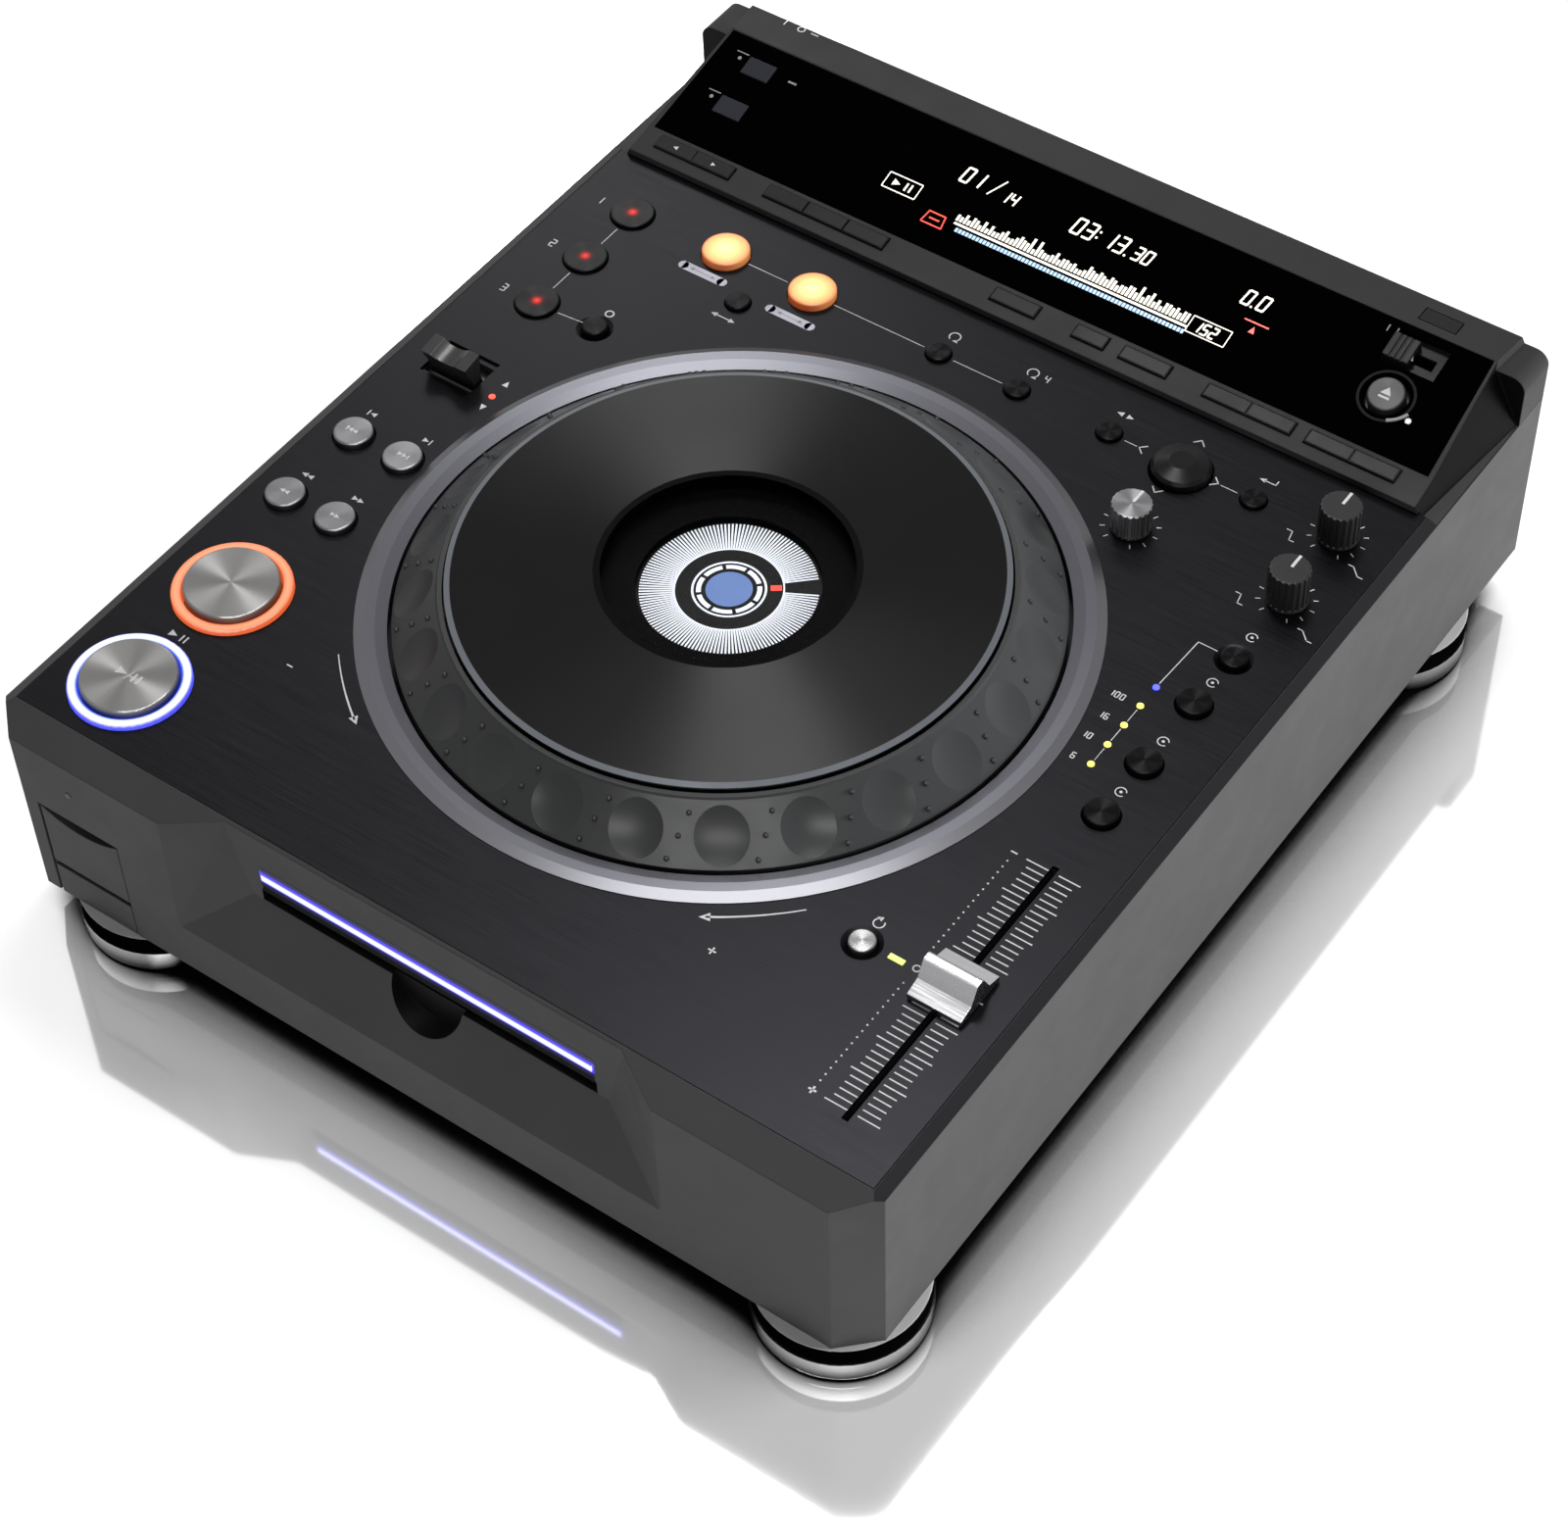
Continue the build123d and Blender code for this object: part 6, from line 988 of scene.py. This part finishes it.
def front_light():
    """The lens of the light strip, a painted glow of its light on the wall round it, and a black band of
    painted shade under it.
    """
    wall = upright(RECESS_WALL)
    half = STRIP_HALF_W + 0.5
    blue = (0.1, 0.07, 1.0)
    dim = (0.01, 0.008, 0.12)
    # Bands on the wall above and below the lens: a painted blue glow of the strip's light. The band above
    # lies over the cabinet's colour; the band below lies over black paint, which is painted shade.
    for name, side, base in (("strip_painted_glow_high", 1, grey(0.052)), ("strip_painted_glow_and_shade_low", -1, grey(0.002))):
        glow = Paint(name, base, 0.5, specular=0.1).mottle(35.0, 0.05)
        glow.glow_bands(STRIP_MIDDLE, STRIP_MIDDLE + side * PAINTED_GLOW_H,
                        [(0.0, blue), (0.42, blue), (0.62, dim), (1.0, grey(0.0))], 0.9)
        ink = Ink(wall)
        ink.box(0, STRIP_MIDDLE + side * PAINTED_GLOW_H / 2, 2 * half + 1.5, PAINTED_GLOW_H)
        ink.make(name, glow, height=0.06)
    lens = Paint("strip_lens", (0.1, 0.1, 0.3), 0.3).mottle(100.0, 0.03)
    lens.glow_bands(STRIP_MIDDLE - LENS_H / 2, STRIP_MIDDLE + LENS_H / 2,
                    [(0.0, blue), (0.16, (0.55, 0.58, 1.0)), (0.3, grey(1.0)), (0.72, (0.96, 0.97, 1.0)),
                     (0.86, (0.5, 0.52, 1.0)), (1.0, blue)], 1.1)
    ink = Ink(wall)
    ink.box(0, STRIP_MIDDLE, 2 * half, LENS_H)
    ink.make("strip_lens", lens, height=0.42)
    # A black band on the wall from the slot's top up to the glow: painted shade.
    ink = Ink(wall)
    low = SLOT_TOP
    high = STRIP_MIDDLE - PAINTED_GLOW_H
    ink.area([(-SLOT_HALF_W, low), (SLOT_HALF_W, low),
              (SLOT_HALF_W - 1.0, high), (1.0 - SLOT_HALF_W, high)])
    ink.make("painted_slot_shade", glossy("painted_slot_shade_black", grey(0.0015), 0.5, 0.05), height=0.06)


# Floor, light and camera

def make_floor():
    """A pale glossy floor that darkens where the object comes close to it: painted shade."""
    mesh = bpy.data.meshes.new("floor")
    reach = 6.0
    corners = [(-reach, -reach, 0), (reach, -reach, 0), (reach, reach, 0), (-reach, reach, 0)]
    mesh.from_pydata(corners, [], [(0, 1, 2, 3)])
    floor = bpy.data.objects.new("floor", mesh)
    bpy.context.scene.collection.objects.link(floor)
    material = bpy.data.materials.new("floor_gloss")
    material.use_nodes = True
    nodes = material.node_tree.nodes
    links = material.node_tree.links
    nodes.clear()
    out = nodes.new("ShaderNodeOutputMaterial")
    path = nodes.new("ShaderNodeLightPath")
    shade = nodes.new("ShaderNodeMix")
    shade.data_type = "RGBA"
    shade.inputs[COLOR_A].default_value = (0.95, 0.95, 0.95, 1)
    shade.inputs[COLOR_B].default_value = (0.34, 0.34, 0.34, 1)
    links.new(path.outputs["Is Diffuse Ray"], shade.inputs["Factor"])
    near = nodes.new("ShaderNodeAmbientOcclusion")
    near.samples = 40
    near.inputs["Distance"].default_value = 0.08
    open_sky = nodes.new("ShaderNodeMapRange")
    open_sky.inputs["From Min"].default_value = 0.44
    open_sky.inputs["From Max"].default_value = 0.66
    links.new(near.outputs["AO"], open_sky.inputs["Value"])
    # The floor's colour, its reflection and its glow are darkened by the occlusion near the object: painted
    # contact shade.
    contact_painted_shade = nodes.new("ShaderNodeMix")
    contact_painted_shade.data_type = "RGBA"
    contact_painted_shade.inputs[COLOR_A].default_value = (0.01, 0.01, 0.01, 1)
    links.new(open_sky.outputs["Result"], contact_painted_shade.inputs["Factor"])
    links.new(shade.outputs[COLOR_OUT], contact_painted_shade.inputs[COLOR_B])
    seen = nodes.new("ShaderNodeMath")
    seen.operation = "MULTIPLY"
    links.new(path.outputs["Is Camera Ray"], seen.inputs[0])
    links.new(open_sky.outputs["Result"], seen.inputs[1])
    mix = nodes.new("ShaderNodeMixShader")
    mix.inputs["Fac"].default_value = 0.55
    diffuse = nodes.new("ShaderNodeBsdfDiffuse")
    links.new(contact_painted_shade.outputs[COLOR_OUT], diffuse.inputs["Color"])
    mirror = nodes.new("ShaderNodeBsdfGlossy")
    links.new(open_sky.outputs["Result"], mirror.inputs["Color"])
    mirror.inputs["Roughness"].default_value = 0.06
    glow = nodes.new("ShaderNodeEmission")
    links.new(seen.outputs["Value"], glow.inputs["Color"])
    glow.inputs["Strength"].default_value = 0.27
    total = nodes.new("ShaderNodeAddShader")
    links.new(diffuse.outputs[0], mix.inputs[1])
    links.new(mirror.outputs[0], mix.inputs[2])
    links.new(mix.outputs[0], total.inputs[0])
    links.new(glow.outputs[0], total.inputs[1])
    links.new(total.outputs[0], out.inputs["Surface"])
    mesh.materials.append(material)


def make_world():
    """A surround that the camera and gloss see as white, and that lights plain surfaces only a little."""
    world = bpy.data.worlds.new("studio")
    bpy.context.scene.world = world
    world.use_nodes = True
    nodes = world.node_tree.nodes
    links = world.node_tree.links
    back = nodes["Background"]
    path = nodes.new("ShaderNodeLightPath")
    diffuse = nodes.new("ShaderNodeMix")
    diffuse.data_type = "RGBA"
    diffuse.inputs[COLOR_A].default_value = (1.0, 1.0, 1.0, 1)
    diffuse.inputs[COLOR_B].default_value = (0.06, 0.06, 0.062, 1)
    scattered = nodes.new("ShaderNodeMath")
    scattered.operation = "GREATER_THAN"
    scattered.inputs[1].default_value = 0.5
    links.new(path.outputs["Diffuse Depth"], scattered.inputs[0])
    links.new(scattered.outputs["Value"], diffuse.inputs["Factor"])
    links.new(diffuse.outputs[COLOR_OUT], back.inputs["Color"])
    back.inputs["Strength"].default_value = 1.0


def softbox(name, place, aim, size, watts, shine=True, shade=True):
    """A flat lamp; shine is whether gloss shows it, shade whether it lights plain surfaces."""
    lamp = bpy.data.lights.new(name, "AREA")
    lamp.shape = "RECTANGLE"
    lamp.size, lamp.size_y = size
    lamp.energy = watts
    holder = bpy.data.objects.new(name, lamp)
    holder.location = place
    holder.rotation_mode = "QUATERNION"
    holder.rotation_quaternion = (Vector(aim) - Vector(place)).to_track_quat("-Z", "Y")
    bpy.context.scene.collection.objects.link(holder)
    holder.visible_glossy = shine
    holder.visible_diffuse = shade


def make_lights():
    softbox("key_right", (2.3, 1.75, 0.35), (0, 0, 0.05), (1.5, 0.6), 188.0, shine=False)
    softbox("front_fill", (0.7, -2.2, 0.5), (0, 0, 0.05), (1.2, 0.6), 18.0, shine=False)
    softbox("top", (0.24, -0.35, 1.7), (0, 0, 0.08), (1.3, 0.16), 20.0, shade=False)
    softbox("sheen_front", (-0.25, 0.37, 1.3), (0, 0, 0.1), (0.28, 0.28), 7.4)
    softbox("sheen_back", (-1.1, 1.25, 1.3), (-0.1, 0.1, 0.1), (0.4, 0.4), 4.2)
    softbox("bevel_light", (0.6, -1.06, 1.13), (0, 0, 0.1), (1.1, 0.14), 12.5, shade=False)


CAMERA_PLACE = (0.4747, -0.6344, 0.9182)
CAMERA_AIM = (0.0527, -0.0688, 0.088)
CAMERA_ROLL = -1.88
CAMERA_LENS = 85.3
CAMERA_SHIFT = (-0.0073, 0.0)


def make_camera():
    camera = bpy.data.cameras.new("camera")
    camera.lens = CAMERA_LENS
    camera.sensor_width = 36.0
    camera.shift_x, camera.shift_y = CAMERA_SHIFT
    camera.clip_start = 0.05
    camera.clip_end = 30.0
    holder = bpy.data.objects.new("camera", camera)
    holder.location = CAMERA_PLACE
    turn = (Vector(CAMERA_AIM) - Vector(CAMERA_PLACE)).to_track_quat("-Z", "Y")
    holder.rotation_mode = "QUATERNION"
    holder.rotation_quaternion = turn @ Matrix.Rotation(math.radians(CAMERA_ROLL), 3, "Z").to_quaternion()
    bpy.context.scene.collection.objects.link(holder)
    bpy.context.scene.camera = holder


dress_body()
dress_feet()
dress_sockets()
dress_lights()
dress_jog()
dress_buttons()
dress_controls()
print_fader_scale()
print_deck_marks()
print_jog_arrows()
print_knob_scales()
print_icons()
print_plaques()
print_button_signs()
knob_pointers()
jog_surround()
jog_screen_picture()
display_picture()
print_housing_signs()
eject_signs()
front_light()
make_floor()
make_world()
make_lights()
make_camera()
bpy.context.scene.view_settings.view_transform = "Standard"
